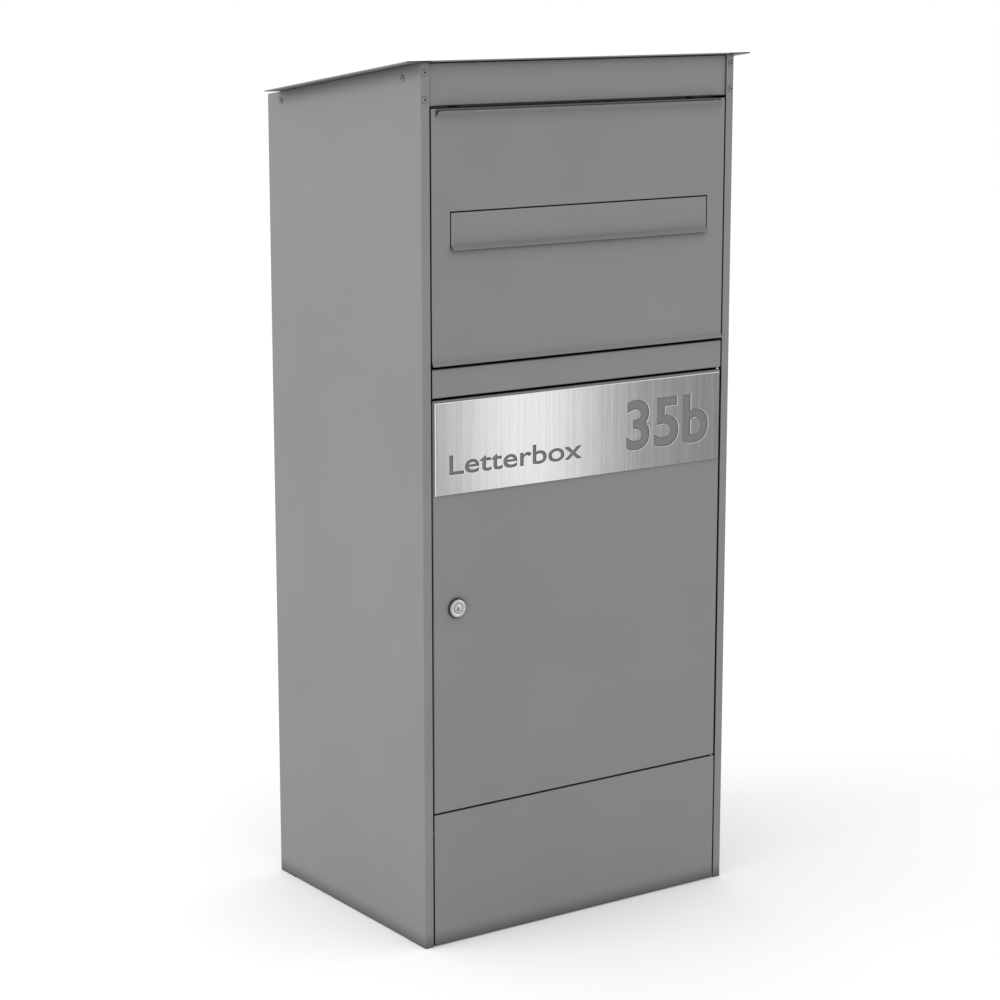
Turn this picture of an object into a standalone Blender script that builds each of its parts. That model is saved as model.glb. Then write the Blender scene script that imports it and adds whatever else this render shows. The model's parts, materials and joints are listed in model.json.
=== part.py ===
"""Free-standing parcel and letter box in folded steel sheet.

A tipping parcel flap with a hopper behind it fills the upper third of the front. A letter flap
hangs in the parcel flap. Below it a locked door gives access to the compartment, and a fixed
plinth panel closes the foot. Front is -Y, +X is to the right as one faces the box, and the origin
is on the ground at the middle of the housing's footprint.

Sizes are in millimetres and are turned into Blender's metres in one place, by MM.
"""

import math

import bmesh
import bpy
from mathutils import Matrix, Vector

MM = 0.001

# Housing
WIDTH = 475.0
DEPTH = 360.5
FRONT_HEIGHT = 1097.4
ROOF_SLOPE = 0.142
SHEET = 1.5
THIN = 1.0
GAP = 0.3
LAP = 2.0  # how far two joined shapes run into each other
PAST = 10.0  # how far a cutter or a trimmed shape runs past its work
FRONT_FLANGE = 12.0
BACK_FLANGE = 15.0
FOOT_FLANGE = 20.0
FOOT_FLANGE_ENDS = (44.0, 321.0)
FRONT_HALF = 223.3
BEHIND_FLANGE = SHEET + GAP
INSIDE_HALF = WIDTH / 2 - SHEET - GAP
BACK_PANEL_DROP = 1.2
SKIM = 0.02  # keeps two joined shapes from sharing a plane

# Roof sheet and fascia
EAR_HALF = 259.5
EAR_BACK = 330.0
ROOF_FRONT = -5.0  # the roof stands this far out over the fascia and the front flanges
FASCIA_HALF = 225.2
FASCIA_BOTTOM = 1046.0
FASCIA_RETURN = 14.0
FASCIA_WING_TOP = 1091.0
ROOF_BACK = 362.5
ROOF_BACK_DROP = 16.0
BRACKET_DROP = 22.0
BRACKET_WIDTH = 21.0
BRACKET_ENDS = (20.0, 345.0)
RIVET_HOLE = 2.1
RIVET_HEAD = 3.9
RIVET_HEAD_GAP = 0.05
RIVET_DOME = 1.5
RIVET_DOME_ANGLES = (66, 48, 25, 0)
RIVET_SHANK = 2.0
RIVET_LENGTH = 5.2
RIVET_TAIL = 2.9
RIVET_TAIL_TOP = 3.9
RIVET_NECK = 3.6
MANDREL_HOLE = 1.1
MANDREL_DEPTH = 1.0
MANDREL_EDGE = 0.1
SIDE_RIVETS = ((40.0, 1077.5), (326.0, 1038.7))
FRONT_RIVETS = (1085.7, 1054.3)
FRONT_RIVET_X = 232.3

# Fixed front members
RAIL_TOP = 732.6
RAIL_BOTTOM = 697.1
RAIL_DEPTH = 20.0
RAIL_EAR_BOTTOM = 701.1
MEMBER_EAR_ENDS = (4.0, 19.0)
PLINTH_TOP = 172.4
PLINTH_BOTTOM = 1.0
PLINTH_FOOT = 12.0
PLINTH_EAR_BOTTOM = 122.4
FLOOR_TOP = 168.5
FLOOR_FLANGE = 18.0
FLOOR_FRONT = 22.0
BASE_THICK = 2.0
BASE_FRONT = 14.0
ANCHOR_RADIUS = 6.0
ANCHOR_PLACES = ((-160.0, 80.0), (160.0, 80.0), (-160.0, 280.0), (160.0, 280.0))
WALL_HOLE_RADIUS = 4.25
WALL_HOLES = ((-170.0, 250.0), (170.0, 250.0), (-170.0, 950.0), (170.0, 950.0))

# Parcel flap and its hopper, which tip about FLAP_AXIS (y, z)
FLAP_AXIS = (8.0, 756.5)
FLAP_CREASE = 742.0
FLAP_FOOT = (-3.2, 736.4)
LIP_CREASE = 1033.4
LIP_LENGTH = 8.6
LIP_HALF = 216.0
LIP_CORNER = 5.0
FLAP_TOP = 1043.0
STIFFENER_BOTTOM = 1008.0
STIFFENER_HALF = 220.9
STIFFENER_DEPTH = 14.0
CHEEK_RADIUS = 276.5
CHEEK_INNER = 221.3
CHEEK_TAB = 12.0
CHEEK_TAB_ENDS = (772.0, 1004.0)
CHEEK_FOOT = (20.0, 737.5)
CHEEK_END_ANGLE = -45.5
CHUTE_LIP = (20.0, 739.0)
CHUTE_FRONT = (741.0, 768.0)
CHUTE_FLANGE_START = 4.0
CHUTE_LENGTH = 250.0
CHUTE_FLANGE = 12.0
CHUTE_HALF = 220.7
GUARD_RADIUS = 279.5
GUARD_ANGLES = (8.0, 78.0)
GUARD_FLANGE = 12.0
GUARD_STEPS = 18
FLAP_PIN_RADIUS = 4.0
FLAP_PIN_COLLAR = 5.5
FLAP_PIN_STEPS = (219.2, 222.7, 225.9, 234.8)
BUSH_INNER = 226.2
BUSH_DEPTHS = (2.2, 20.0)
BUSH_HEIGHTS = (746.0, 768.0)
RUNNING = 0.1
STOP_FRONT = 18.4
STOP_BOTTOM = 1034.0
STOP_TOP = 1060.0
STOP_SHELF = 18.0
BUFFER_X = 180.0
BUFFER_Z = 1040.5
BUFFER_RADIUS = 5.0

# Letter flap, which swings about LETTER_AXIS (y, z)
LETTER_AXIS = (5.0, 912.0)
LETTER_HALF = 195.4
LETTER_TOP = 919.4
LETTER_CREASE = 881.0
LETTER_LIP = 5.5
SLOT_HALF = 196.9
SLOT_BOTTOM = 878.5
SLOT_TOP = 921.1
ROD_RADIUS = 1.5
ROD_HALF = 191.2
ROD_SEGMENTS = 20
LETTER_EAR = ((1.0, 902.0), (8.6, 908.0), (8.6, 915.6), (1.0, 916.6))
LETTER_EAR_X = 184.0
LETTER_FRAME_HALF = 207.0
LETTER_FRAME_ENDS = (864.0, 921.0)
WINDOW_HALF = 191.6
WINDOW_WIDE = 198.0
WINDOW_STEP = 900.0
SILL_HALF = 188.0
SILL_BACK = 17.0
LUG_X = 188.0
LUG_THICK = 2.0
LUG_HUB = 3.1
LUG_SWING = 9.8
LUG_DEPTHS = (5.0, 16.0)
LUG_HEIGHTS = (905.0, 936.0)
LUG_FOOT_BOTTOM = 923.0
LUG_FOOT_X = 204.0

# Door, which swings about the upright DOOR_AXIS (x, y)
DOOR_AXIS = (220.0, 3.2)
DOOR_TOP = 694.3
DOOR_BOTTOM = 174.0
DOOR_DEPTH = 15.0
DOOR_PIN_RADIUS = 1.4
DOOR_SHOULDER = 2.4
DOOR_PIN_IN_DOOR = 10.2
DOOR_PIN_IN_FRAME = 6.8
HAT_HALF = 26.0
HAT_BRIM = 38.0
HAT_BACK = 13.0
HAT_SHORT = 12.0
PLATE_HALF = 220.9
PLATE_TOP = 691.4
PLATE_BOTTOM = 577.0
PLATE_CHAMFER = 0.8
STRIKE_Y = 15.8
STRIKE_REACH = 214.0
STRIKE_LEG = 20.0
STRIKE_ENDS = (176.0, 690.0)

# Cam lock about LOCK (x, z), along Y
LOCK = (-189.1, 433.7)
LOCK_HEAD_RADIUS = 11.5
LOCK_HEAD = 4.0
LOCK_HEAD_EDGE = 0.6
LOCK_SEGMENTS = 48
WASHER_RADIUS = 13.9
WASHER_THICK = 0.9
LOCK_BARREL_RADIUS = 9.0
LOCK_BARREL_END = 16.5
PLUG_RADIUS = 6.0
PLUG_EDGE = 0.3
PLUG_SQUARE = 7.0
KEYWAY_HALF = (0.7, 3.6)
KEYWAY_END = 6.0
SCREW_BORE = 2.0
SCREW_BORE_START = 11.0
NUT_ACROSS_FLATS = 24.0
NUT_THICK = 4.5
CAM_FRONT = 17.8
CAM_THICK = 2.5
CAM_LENGTH = 37.0
CAM_HUB = 10.0
CAM_HALF = 6.5
CAM_CORNER = 2.0
SCREW_START = 12.0
SCREW_SHANK = 1.8
SCREW_FLANGE = (5.6, 0.8)
SCREW_HEAD = (4.4, 3.0)
SCREW_TOP = (3.6, 3.6)

# The footprint runs from the tip of the grip lip to the back of the roof sheet
MIDDLE_Y = (ROOF_BACK - LIP_LENGTH * math.sin(math.radians(45))) / 2
ORIGIN = Vector((0.0, MIDDLE_Y, 0.0))


def roof_underside(y):
    return FRONT_HEIGHT - ROOF_SLOPE * y


def clear_scene():
    for obj in list(bpy.data.objects):
        bpy.data.objects.remove(obj, do_unlink=True)


def finish(name, colour, roughness, metallic):
    material = bpy.data.materials.new(name)
    material.use_nodes = True
    shader = material.node_tree.nodes["Principled BSDF"]
    shader.inputs["Base Color"].default_value = (*colour, 1.0)
    shader.inputs["Roughness"].default_value = roughness
    shader.inputs["Metallic"].default_value = metallic
    material.diffuse_color = (*colour, 1.0)
    return material


def place(name, bm, look, hidden=False):
    """Makes an object of a shape in millimetres, at its place in the world."""
    bmesh.ops.recalc_face_normals(bm, faces=bm.faces)
    bmesh.ops.translate(bm, vec=-ORIGIN, verts=bm.verts)
    bmesh.ops.scale(bm, vec=(MM, MM, MM), verts=bm.verts)
    mesh = bpy.data.meshes.new(name)
    bm.to_mesh(mesh)
    bm.free()
    obj = bpy.data.objects.new(name, mesh)
    bpy.context.scene.collection.objects.link(obj)
    if look is not None:
        mesh.materials.append(look)
    if hidden:
        obj.hide_render = True
        obj.display_type = "WIRE"
    return obj


def prism(outline, axis, low, high):
    """A closed outline pushed along an axis. It is (y, z) for X, (x, z) for Y and (x, y) for Z."""
    lift = {
        "X": lambda a, b: (low, a, b),
        "Y": lambda a, b: (a, low, b),
        "Z": lambda a, b: (a, b, low),
    }[axis]
    step = Vector([(high - low) * (axis == name) for name in "XYZ"])
    bm = bmesh.new()
    face = bm.faces.new([bm.verts.new(lift(a, b)) for a, b in outline])
    made = bmesh.ops.extrude_face_region(bm, geom=[face])
    moved = [item for item in made["geom"] if isinstance(item, bmesh.types.BMVert)]
    bmesh.ops.translate(bm, vec=step, verts=moved)
    return bm


def block(low, high):
    outline = [(low[0], low[1]), (high[0], low[1]), (high[0], high[1]), (low[0], high[1])]
    return prism(outline, "Z", low[2], high[2])


def arc(centre, radius, start, end, steps):
    """Points on a circle from one angle to another, in degrees."""
    angles = [math.radians(start + (end - start) * i / steps) for i in range(steps + 1)]
    return [(centre[0] + radius * math.cos(a), centre[1] + radius * math.sin(a)) for a in angles]


def folded(path, thickness):
    """The outline of a sheet folded along a path, with its thickness to the left of the path."""
    points = [Vector(p) for p in path]
    inner = []
    for i, point in enumerate(points):
        before = (point - points[i - 1]).normalized() if i else None
        after = (points[i + 1] - point).normalized() if i + 1 < len(points) else None
        sides = [Vector((-d.y, d.x)) for d in (before, after) if d is not None]
        mitre = sum(sides, Vector((0.0, 0.0))).normalized()
        inner.append(point + mitre * thickness / mitre.dot(sides[0]))
    return [tuple(p) for p in points + inner[::-1]]


def turned(profile, place_at, axis, segments):
    """A round piece: (radius, distance along the axis) points, turned about the axis."""
    bm = bmesh.new()
    verts = [bm.verts.new((radius, 0.0, along)) for radius, along in profile]
    edges = [bm.edges.new(pair) for pair in zip(verts, verts[1:], strict=False)]
    closed = profile[0][0] > 0.0
    if closed:
        edges.append(bm.edges.new((verts[-1], verts[0])))
    bmesh.ops.spin(
        bm, geom=verts + edges, cent=(0, 0, 0), axis=(0, 0, 1), dvec=(0, 0, 0),
        angle=math.tau, steps=segments, use_merge=True, use_normal_flip=False,
        use_duplicate=False,
    )
    bmesh.ops.remove_doubles(bm, verts=bm.verts, dist=0.001)
    turn = {
        "X": Matrix.Rotation(math.radians(90), 4, "Y"),
        "Y": Matrix.Rotation(math.radians(-90), 4, "X"),
        "Z": Matrix.Identity(4),
    }[axis]
    bmesh.ops.transform(bm, matrix=Matrix.Translation(place_at) @ turn, verts=bm.verts)
    return bm


def rod(radius, place_at, axis, low, high, segments=32):
    return turned([(0.0, low), (radius, low), (radius, high), (0.0, high)], place_at, axis, segments)


def combine(obj, bm, operation, name):
    """Adds or cuts another closed shape, which stays as a hidden helper."""
    helper = place(f"{obj.name}_{name}", bm, None, hidden=True)
    modifier = obj.modifiers.new(name, "BOOLEAN")
    modifier.operation = operation
    modifier.solver = "EXACT"
    modifier.object = helper


def add(obj, bm, name):
    combine(obj, bm, "UNION", name)


def cut(obj, bm, name):
    combine(obj, bm, "DIFFERENCE", name)


def together(shapes):
    """Several closed shapes that stay apart, as one bmesh, so that one Boolean cuts them all."""
    joined = bmesh.new()
    for shape in shapes:
        copy = bpy.data.meshes.new("shape")
        shape.to_mesh(copy)
        shape.free()
        joined.from_mesh(copy)
        bpy.data.meshes.remove(copy)
    return joined


def smooth(obj):
    obj.data.shade_smooth()
    obj.data.set_sharp_from_angle(angle=math.radians(35))


def keep_below(bm, at_front, slope):
    """Cuts a shape off along the roof's slope, keeping what is below."""
    normal = Vector((0.0, slope, 1.0)).normalized()
    made = bmesh.ops.bisect_plane(
        bm, geom=bm.verts[:] + bm.edges[:] + bm.faces[:], plane_co=(0, 0, at_front),
        plane_no=normal, clear_outer=True,
    )
    rim = [item for item in made["geom_cut"] if isinstance(item, bmesh.types.BMEdge)]
    bmesh.ops.holes_fill(bm, edges=rim)


def pair(build):
    """Builds a piece for the left and for the right."""
    return [build("left", -1.0), build("right", 1.0)]


clear_scene()

powder = finish("grey_powder_coat", (0.215, 0.215, 0.208), 0.55, 0.0)
zinc = finish("zinc_plated_steel", (0.52, 0.52, 0.50), 0.42, 0.9)
stainless = finish("brushed_stainless", (0.62, 0.62, 0.61), 0.32, 1.0)
nickel = finish("nickel_plate", (0.66, 0.65, 0.62), 0.22, 1.0)
nylon = finish("black_nylon", (0.02, 0.02, 0.02), 0.5, 0.0)
rubber = finish("black_rubber", (0.025, 0.025, 0.025), 0.85, 0.0)


# Housing: two folded sides, back, base and floor

def side_panel(side, s):
    outer = WIDTH / 2
    inner = outer - SHEET
    edge = outer - FRONT_FLANGE
    back_edge = outer - BACK_FLANGE
    outline = [
        (s * outer, 0.0), (s * edge, 0.0), (s * edge, SHEET), (s * inner, SHEET),
        (s * inner, DEPTH - SHEET), (s * back_edge, DEPTH - SHEET), (s * back_edge, DEPTH),
        (s * outer, DEPTH),
    ]
    bm = prism(outline, "Z", SKIM, FRONT_HEIGHT + PAST)
    keep_below(bm, FRONT_HEIGHT - GAP, ROOF_SLOPE)
    panel = place(f"side_panel_{side}", bm, powder)
    low, high = FOOT_FLANGE_ENDS
    xs = sorted((s * (inner + SHEET / 2), s * (outer - FOOT_FLANGE)))
    add(panel, block((xs[0], low, 0.0), (xs[1], high, SHEET)), "foot_flange")
    return panel


pair(side_panel)

back_top = roof_underside(DEPTH) - BACK_PANEL_DROP
back_front = DEPTH - SHEET - GAP - SHEET
back_panel = place(
    "back_panel",
    block(
        (-INSIDE_HALF, back_front, BEHIND_FLANGE + BASE_THICK + GAP),
        (INSIDE_HALF, back_front + SHEET, back_top),
    ),
    powder,
)
wall_holes = [rod(WALL_HOLE_RADIUS, (x, back_front, z), "Y", -PAST, PAST) for x, z in WALL_HOLES]
cut(back_panel, together(wall_holes), "wall_holes")

base_plate = place(
    "base_plate",
    block(
        (-INSIDE_HALF, BASE_FRONT, BEHIND_FLANGE),
        (INSIDE_HALF, back_front - GAP, BEHIND_FLANGE + BASE_THICK),
    ),
    zinc,
)
anchor_holes = [rod(ANCHOR_RADIUS, (x, y, 0.0), "Z", -PAST, PAST) for x, y in ANCHOR_PLACES]
cut(base_plate, together(anchor_holes), "anchor_holes")

floor_low = (-INSIDE_HALF, FLOOR_FRONT, FLOOR_TOP - FLOOR_FLANGE)
floor_high = (INSIDE_HALF, back_front - GAP, FLOOR_TOP)
compartment_floor = place("compartment_floor", block(floor_low, floor_high), powder)
hollow_low = (floor_low[0] + THIN, floor_low[1] + THIN, floor_low[2] - PAST)
hollow_high = (floor_high[0] - THIN, floor_high[1] - THIN, FLOOR_TOP - THIN)
cut(compartment_floor, block(hollow_low, hollow_high), "underside")


# Roof and fascia, folded from one sheet

roof_path = [
    (ROOF_BACK, roof_underside(ROOF_BACK) + SHEET - ROOF_BACK_DROP),
    (ROOF_BACK, roof_underside(ROOF_BACK) + SHEET),
    (BEHIND_FLANGE, roof_underside(BEHIND_FLANGE) + SHEET),
    (BEHIND_FLANGE, FASCIA_BOTTOM), (BEHIND_FLANGE + FASCIA_RETURN, FASCIA_BOTTOM),
]
roof_sheet = place(
    "roof_sheet", prism(folded(roof_path, SHEET), "X", -FASCIA_HALF, FASCIA_HALF), powder
)


def roof_strip(near, far, skim):
    """The outline of a stretch of the roof sheet, thinner than it by a skim on each face."""
    return [
        (near, roof_underside(near) + skim), (far, roof_underside(far) + skim),
        (far, roof_underside(far) + SHEET - skim), (near, roof_underside(near) + SHEET - skim),
    ]


nose = roof_strip(ROOF_FRONT, BEHIND_FLANGE + LAP, 2 * SKIM)
add(roof_sheet, prism(nose, "X", -FASCIA_HALF, FASCIA_HALF), "nose")
for side, s in (("left", -1.0), ("right", 1.0)):
    xs = sorted((s * (FASCIA_HALF - LAP), s * EAR_HALF))
    add(roof_sheet, prism(roof_strip(ROOF_FRONT, EAR_BACK, SKIM), "X", *xs), f"ear_{side}")
    xs = sorted((s * (FASCIA_HALF - LAP), s * (WIDTH / 2 - BEHIND_FLANGE)))
    wing = block(
        (xs[0], BEHIND_FLANGE + SKIM, FASCIA_BOTTOM + SHEET + SKIM),
        (xs[1], BEHIND_FLANGE + SHEET - SKIM, FASCIA_WING_TOP),
    )
    add(roof_sheet, wing, f"wing_{side}")


def roof_bracket(side, s):
    """The angle under the roof sheet: one leg is riveted to the side, one welded to the roof."""
    near, far = BRACKET_ENDS
    outer = WIDTH / 2 - BEHIND_FLANGE

    def leg(top, bottom, x_from, x_to):
        outline = [
            (near, roof_underside(near) - bottom), (far, roof_underside(far) - bottom),
            (far, roof_underside(far) - top), (near, roof_underside(near) - top),
        ]
        return prism(outline, "X", *sorted((s * x_from, s * x_to)))

    bracket = place(f"roof_bracket_{side}", leg(GAP, BRACKET_DROP, outer, outer - THIN), zinc)
    add(bracket, leg(GAP, GAP + THIN, outer - THIN / 2, outer - BRACKET_WIDTH), "welded_leg")
    holes = [rod(RIVET_HOLE, (s * outer, y, z), "X", -LAP, LAP, 24) for y, z in SIDE_RIVETS]
    cut(bracket, together(holes), "rivet_holes")
    return bracket


pair(roof_bracket)

# Blind rivets: a domed head outside, a shank through the sheets, a set end inside

dome = [
    (RIVET_HEAD * math.cos(math.radians(angle)), RIVET_DOME * math.sin(math.radians(angle)))
    for angle in RIVET_DOME_ANGLES
]
rivet_profile = [
    (0.0, RIVET_DOME - MANDREL_DEPTH), (MANDREL_HOLE, RIVET_DOME - MANDREL_DEPTH),
    (MANDREL_HOLE, RIVET_DOME - MANDREL_EDGE), *dome,
    (RIVET_SHANK, 0.0), (RIVET_SHANK, -RIVET_NECK), (RIVET_TAIL, -RIVET_TAIL_TOP),
    (RIVET_TAIL, -RIVET_LENGTH), (0.0, -RIVET_LENGTH),
]


def rivet(name, head_at, axis, outward):
    bm = turned(rivet_profile, (0, 0, 0), "Z", 20)
    turn = {
        ("Y", -1.0): Matrix.Rotation(math.radians(90), 4, "X"),
        ("X", -1.0): Matrix.Rotation(math.radians(-90), 4, "Y"),
        ("X", 1.0): Matrix.Rotation(math.radians(90), 4, "Y"),
    }[axis, outward]
    bmesh.ops.transform(bm, matrix=Matrix.Translation(head_at) @ turn, verts=bm.verts)
    piece = place(name, bm, powder)
    smooth(piece)


fascia_holes = []
for side, s in (("left", -1.0), ("right", 1.0)):
    side_holes = []
    for level, z in zip(("upper", "lower"), FRONT_RIVETS, strict=True):
        rivet(f"flange_rivet_{side}_{level}", (s * FRONT_RIVET_X, -RIVET_HEAD_GAP, z), "Y", -1.0)
        side_holes.append(rod(RIVET_HOLE, (s * FRONT_RIVET_X, 0.0, z), "Y", -LAP, LAP, 24))
        fascia_holes.append(rod(RIVET_HOLE, (s * FRONT_RIVET_X, LAP, z), "Y", -LAP, LAP, 24))
    for level, (y, z) in zip(("front", "rear"), SIDE_RIVETS, strict=True):
        head_at = (s * (WIDTH / 2 + RIVET_HEAD_GAP), y, z)
        rivet(f"roof_rivet_{side}_{level}", head_at, "X", s)
        side_holes.append(rod(RIVET_HOLE, (s * WIDTH / 2, y, z), "X", -LAP, LAP, 24))
    cut(bpy.data.objects[f"side_panel_{side}"], together(side_holes), "rivet_holes")
cut(roof_sheet, together(fascia_holes), "rivet_holes")


# Fixed members across the front

def front_member(name, path, tab_low, tab_top):
    """A folded panel between the side flanges, with ears behind them down to the sides."""
    member = place(name, prism(folded(path, SHEET), "X", -FRONT_HALF, FRONT_HALF), powder)
    for side, s in (("left", -1.0), ("right", 1.0)):
        inner = INSIDE_HALF - SHEET
        ear = [
            (s * (FRONT_HALF - LAP), tab_top - SKIM), (s * (FRONT_HALF - LAP), tab_top - SHEET + SKIM),
            (s * inner, tab_top - SHEET + SKIM), (s * inner, tab_low),
            (s * INSIDE_HALF, tab_low), (s * INSIDE_HALF, tab_top - SKIM),
        ]
        add(member, prism(ear, "Y", *MEMBER_EAR_ENDS), f"ear_{side}")
    return member


rail_path = [
    (RAIL_DEPTH, RAIL_TOP), (0.0, RAIL_TOP), (0.0, RAIL_BOTTOM), (RAIL_DEPTH, RAIL_BOTTOM),
]
mid_rail = front_member("mid_rail", rail_path, RAIL_EAR_BOTTOM, RAIL_TOP)
plinth_path = [
    (RAIL_DEPTH, PLINTH_TOP), (0.0, PLINTH_TOP), (0.0, PLINTH_BOTTOM), (PLINTH_FOOT, PLINTH_BOTTOM),
]
plinth_panel = front_member("plinth_panel", plinth_path, PLINTH_EAR_BOTTOM, PLINTH_TOP)
for member, z in ((mid_rail, RAIL_BOTTOM), (plinth_panel, PLINTH_TOP)):
    hole = rod(DOOR_PIN_RADIUS + RUNNING, (*DOOR_AXIS, z), "Z", -LAP, LAP)
    cut(member, hole, "pivot_hole")

strike_path = [
    (-STRIKE_REACH, STRIKE_Y), (-INSIDE_HALF, STRIKE_Y), (-INSIDE_HALF, STRIKE_Y + STRIKE_LEG),
]
strike_outline = folded(strike_path[::-1], SHEET)
door_strike = place("door_strike", prism(strike_outline, "Z", *STRIKE_ENDS), zinc)

stop_path = [
    (STOP_FRONT + STOP_SHELF, STOP_TOP), (STOP_FRONT, STOP_TOP), (STOP_FRONT, STOP_BOTTOM),
]
stop_outline = folded(stop_path, SHEET)
flap_stop = place("flap_stop", prism(stop_outline, "X", -INSIDE_HALF, INSIDE_HALF), zinc)


def flap_buffer(side, s):
    at = (s * BUFFER_X, 0.0, BUFFER_Z)
    back = STOP_FRONT - GAP
    front = BEHIND_FLANGE + STIFFENER_DEPTH + GAP
    buffer = place(f"flap_buffer_{side}", rod(BUFFER_RADIUS, at, "Y", front, back, 24), rubber)
    smooth(buffer)
    return buffer


pair(flap_buffer)

def guard_outline(inner, outer, short):
    """A sector of the guard between two radii, this many degrees short of its ends."""
    start, end = GUARD_ANGLES[0] + short, GUARD_ANGLES[1] - short
    front = arc(FLAP_AXIS, GUARD_RADIUS + inner, start, end, GUARD_STEPS)
    return front + arc(FLAP_AXIS, GUARD_RADIUS + outer, end, start, GUARD_STEPS)


guard_half = INSIDE_HALF - SKIM
anti_theft_guard = place(
    "anti_theft_guard", prism(guard_outline(0.0, THIN, 0.0), "X", -guard_half, guard_half), zinc
)
for side, s in (("left", -1.0), ("right", 1.0)):
    xs = sorted((s * INSIDE_HALF, s * (INSIDE_HALF - THIN)))
    flange = prism(guard_outline(THIN / 2, GUARD_FLANGE, 0.3), "X", *xs)
    add(anti_theft_guard, flange, f"flange_{side}")


# Parcel flap: front sheet with a grip lip, and the hopper behind it

flap_path = [(0.0, LIP_CREASE), (0.0, FLAP_CREASE), FLAP_FOOT]
flap_panel = place(
    "parcel_flap_panel",
    prism(folded(flap_path, SHEET), "X", -FRONT_HALF, FRONT_HALF),
    powder,
)
for side, s in (("left", -1.0), ("right", 1.0)):
    xs = sorted((s * (LIP_HALF + 0.6), s * FRONT_HALF))
    corner = block((xs[0], 0.0, LIP_CREASE - 1.0), (xs[1], SHEET, FLAP_TOP))
    add(flap_panel, corner, f"corner_{side}")
lip_outline = [
    (-LIP_HALF, -0.6), (LIP_HALF, -0.6),
    *arc((LIP_HALF - LIP_CORNER, LIP_LENGTH - LIP_CORNER), LIP_CORNER, 0.0, 90.0, 6),
    *arc((LIP_CORNER - LIP_HALF, LIP_LENGTH - LIP_CORNER), LIP_CORNER, 90.0, 180.0, 6),
]
lip = prism(lip_outline, "Y", 0.0, SHEET)
lean_out = Matrix.Translation((0, 0, LIP_CREASE)) @ Matrix.Rotation(math.radians(45), 4, "X")
bmesh.ops.transform(lip, matrix=lean_out, verts=lip.verts)
add(flap_panel, lip, "grip_lip")
slot = block((-SLOT_HALF, -LAP, SLOT_BOTTOM), (SLOT_HALF, SHEET + LAP, SLOT_TOP))
cut(flap_panel, slot, "letter_slot")

stiffener_path = [
    (BEHIND_FLANGE + STIFFENER_DEPTH, FLAP_TOP), (BEHIND_FLANGE, FLAP_TOP),
    (BEHIND_FLANGE, STIFFENER_BOTTOM),
]
flap_stiffener = place(
    "flap_stiffener",
    prism(folded(stiffener_path, SHEET), "X", -STIFFENER_HALF, STIFFENER_HALF),
    powder,
)

down = Vector((math.cos(math.radians(45)), -math.sin(math.radians(45))))
chute_end = tuple(Vector(CHUTE_LIP) + down * CHUTE_LENGTH)
chute_path = [
    (BEHIND_FLANGE, CHUTE_FRONT[1]), (BEHIND_FLANGE, CHUTE_FRONT[0]), CHUTE_LIP, chute_end,
]
chute = place(
    "hopper_chute",
    prism(folded(chute_path, THIN), "X", SKIM - CHUTE_HALF, CHUTE_HALF - SKIM),
    zinc,
)
upward = Vector((-down.y, down.x))
for side, s in (("left", -1.0), ("right", 1.0)):
    start = Vector(CHUTE_LIP) + down * CHUTE_FLANGE_START
    end = Vector(CHUTE_LIP) + down * (CHUTE_LENGTH - THIN)
    rim = [
        tuple(start + upward * THIN / 2), tuple(end + upward * THIN / 2),
        tuple(end + upward * CHUTE_FLANGE), tuple(start + upward * CHUTE_FLANGE),
    ]
    xs = sorted((s * CHUTE_HALF, s * (CHUTE_HALF - THIN)))
    add(chute, prism(rim, "X", *xs), f"rim_{side}")


def hopper_cheek(side, s):
    front = BEHIND_FLANGE
    first = math.degrees(math.acos((front - FLAP_AXIS[0]) / CHEEK_RADIUS))
    web = [
        CHEEK_FOOT, (front, CHUTE_FRONT[0]),
        *arc(FLAP_AXIS, CHEEK_RADIUS, first, CHEEK_END_ANGLE, 30),
    ]
    xs = sorted((s * CHEEK_INNER, s * (CHEEK_INNER + THIN)))
    cheek = place(f"hopper_cheek_{side}", prism(web, "X", *xs), zinc)
    tab_x = sorted((s * (CHEEK_INNER + THIN / 2), s * (CHEEK_INNER - CHEEK_TAB)))
    tab_low, tab_high = CHEEK_TAB_ENDS
    tab = block((tab_x[0], front, tab_low), (tab_x[1], front + THIN, tab_high))
    add(cheek, tab, "welded_tab")
    hole = rod(FLAP_PIN_RADIUS + RUNNING, (s * CHEEK_INNER, *FLAP_AXIS), "X", -LAP, LAP)
    cut(cheek, hole, "pin_hole")
    return cheek


pair(hopper_cheek)


def flap_pin(side, s):
    """A shouldered pin riveted into the cheek, which turns in the bush on the side panel."""
    start, collar_start, collar_end, end = FLAP_PIN_STEPS
    profile = [
        (0.0, start), (FLAP_PIN_RADIUS, start), (FLAP_PIN_RADIUS, collar_start),
        (FLAP_PIN_COLLAR, collar_start), (FLAP_PIN_COLLAR, collar_end),
        (FLAP_PIN_RADIUS, collar_end), (FLAP_PIN_RADIUS, end), (0.0, end),
    ]
    if s < 0:
        profile = [(radius, -along) for radius, along in profile[::-1]]
    pin = place(f"flap_pin_{side}", turned(profile, (0.0, *FLAP_AXIS), "X", 32), zinc)
    smooth(pin)
    return pin


def flap_bush(side, s):
    xs = sorted((s * BUSH_INNER, s * INSIDE_HALF))
    low, high = zip(xs, BUSH_DEPTHS, BUSH_HEIGHTS, strict=True)
    bush = place(f"flap_bush_{side}", block(low, high), nylon)
    bore = rod(FLAP_PIN_RADIUS + RUNNING, (s * INSIDE_HALF, *FLAP_AXIS), "X", -2 * PAST, PAST)
    cut(bush, bore, "bore")
    return bush


flap_pins = pair(flap_pin)
pair(flap_bush)


# Letter flap in the parcel flap, with its rod, lugs and the frame it shuts on

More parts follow.
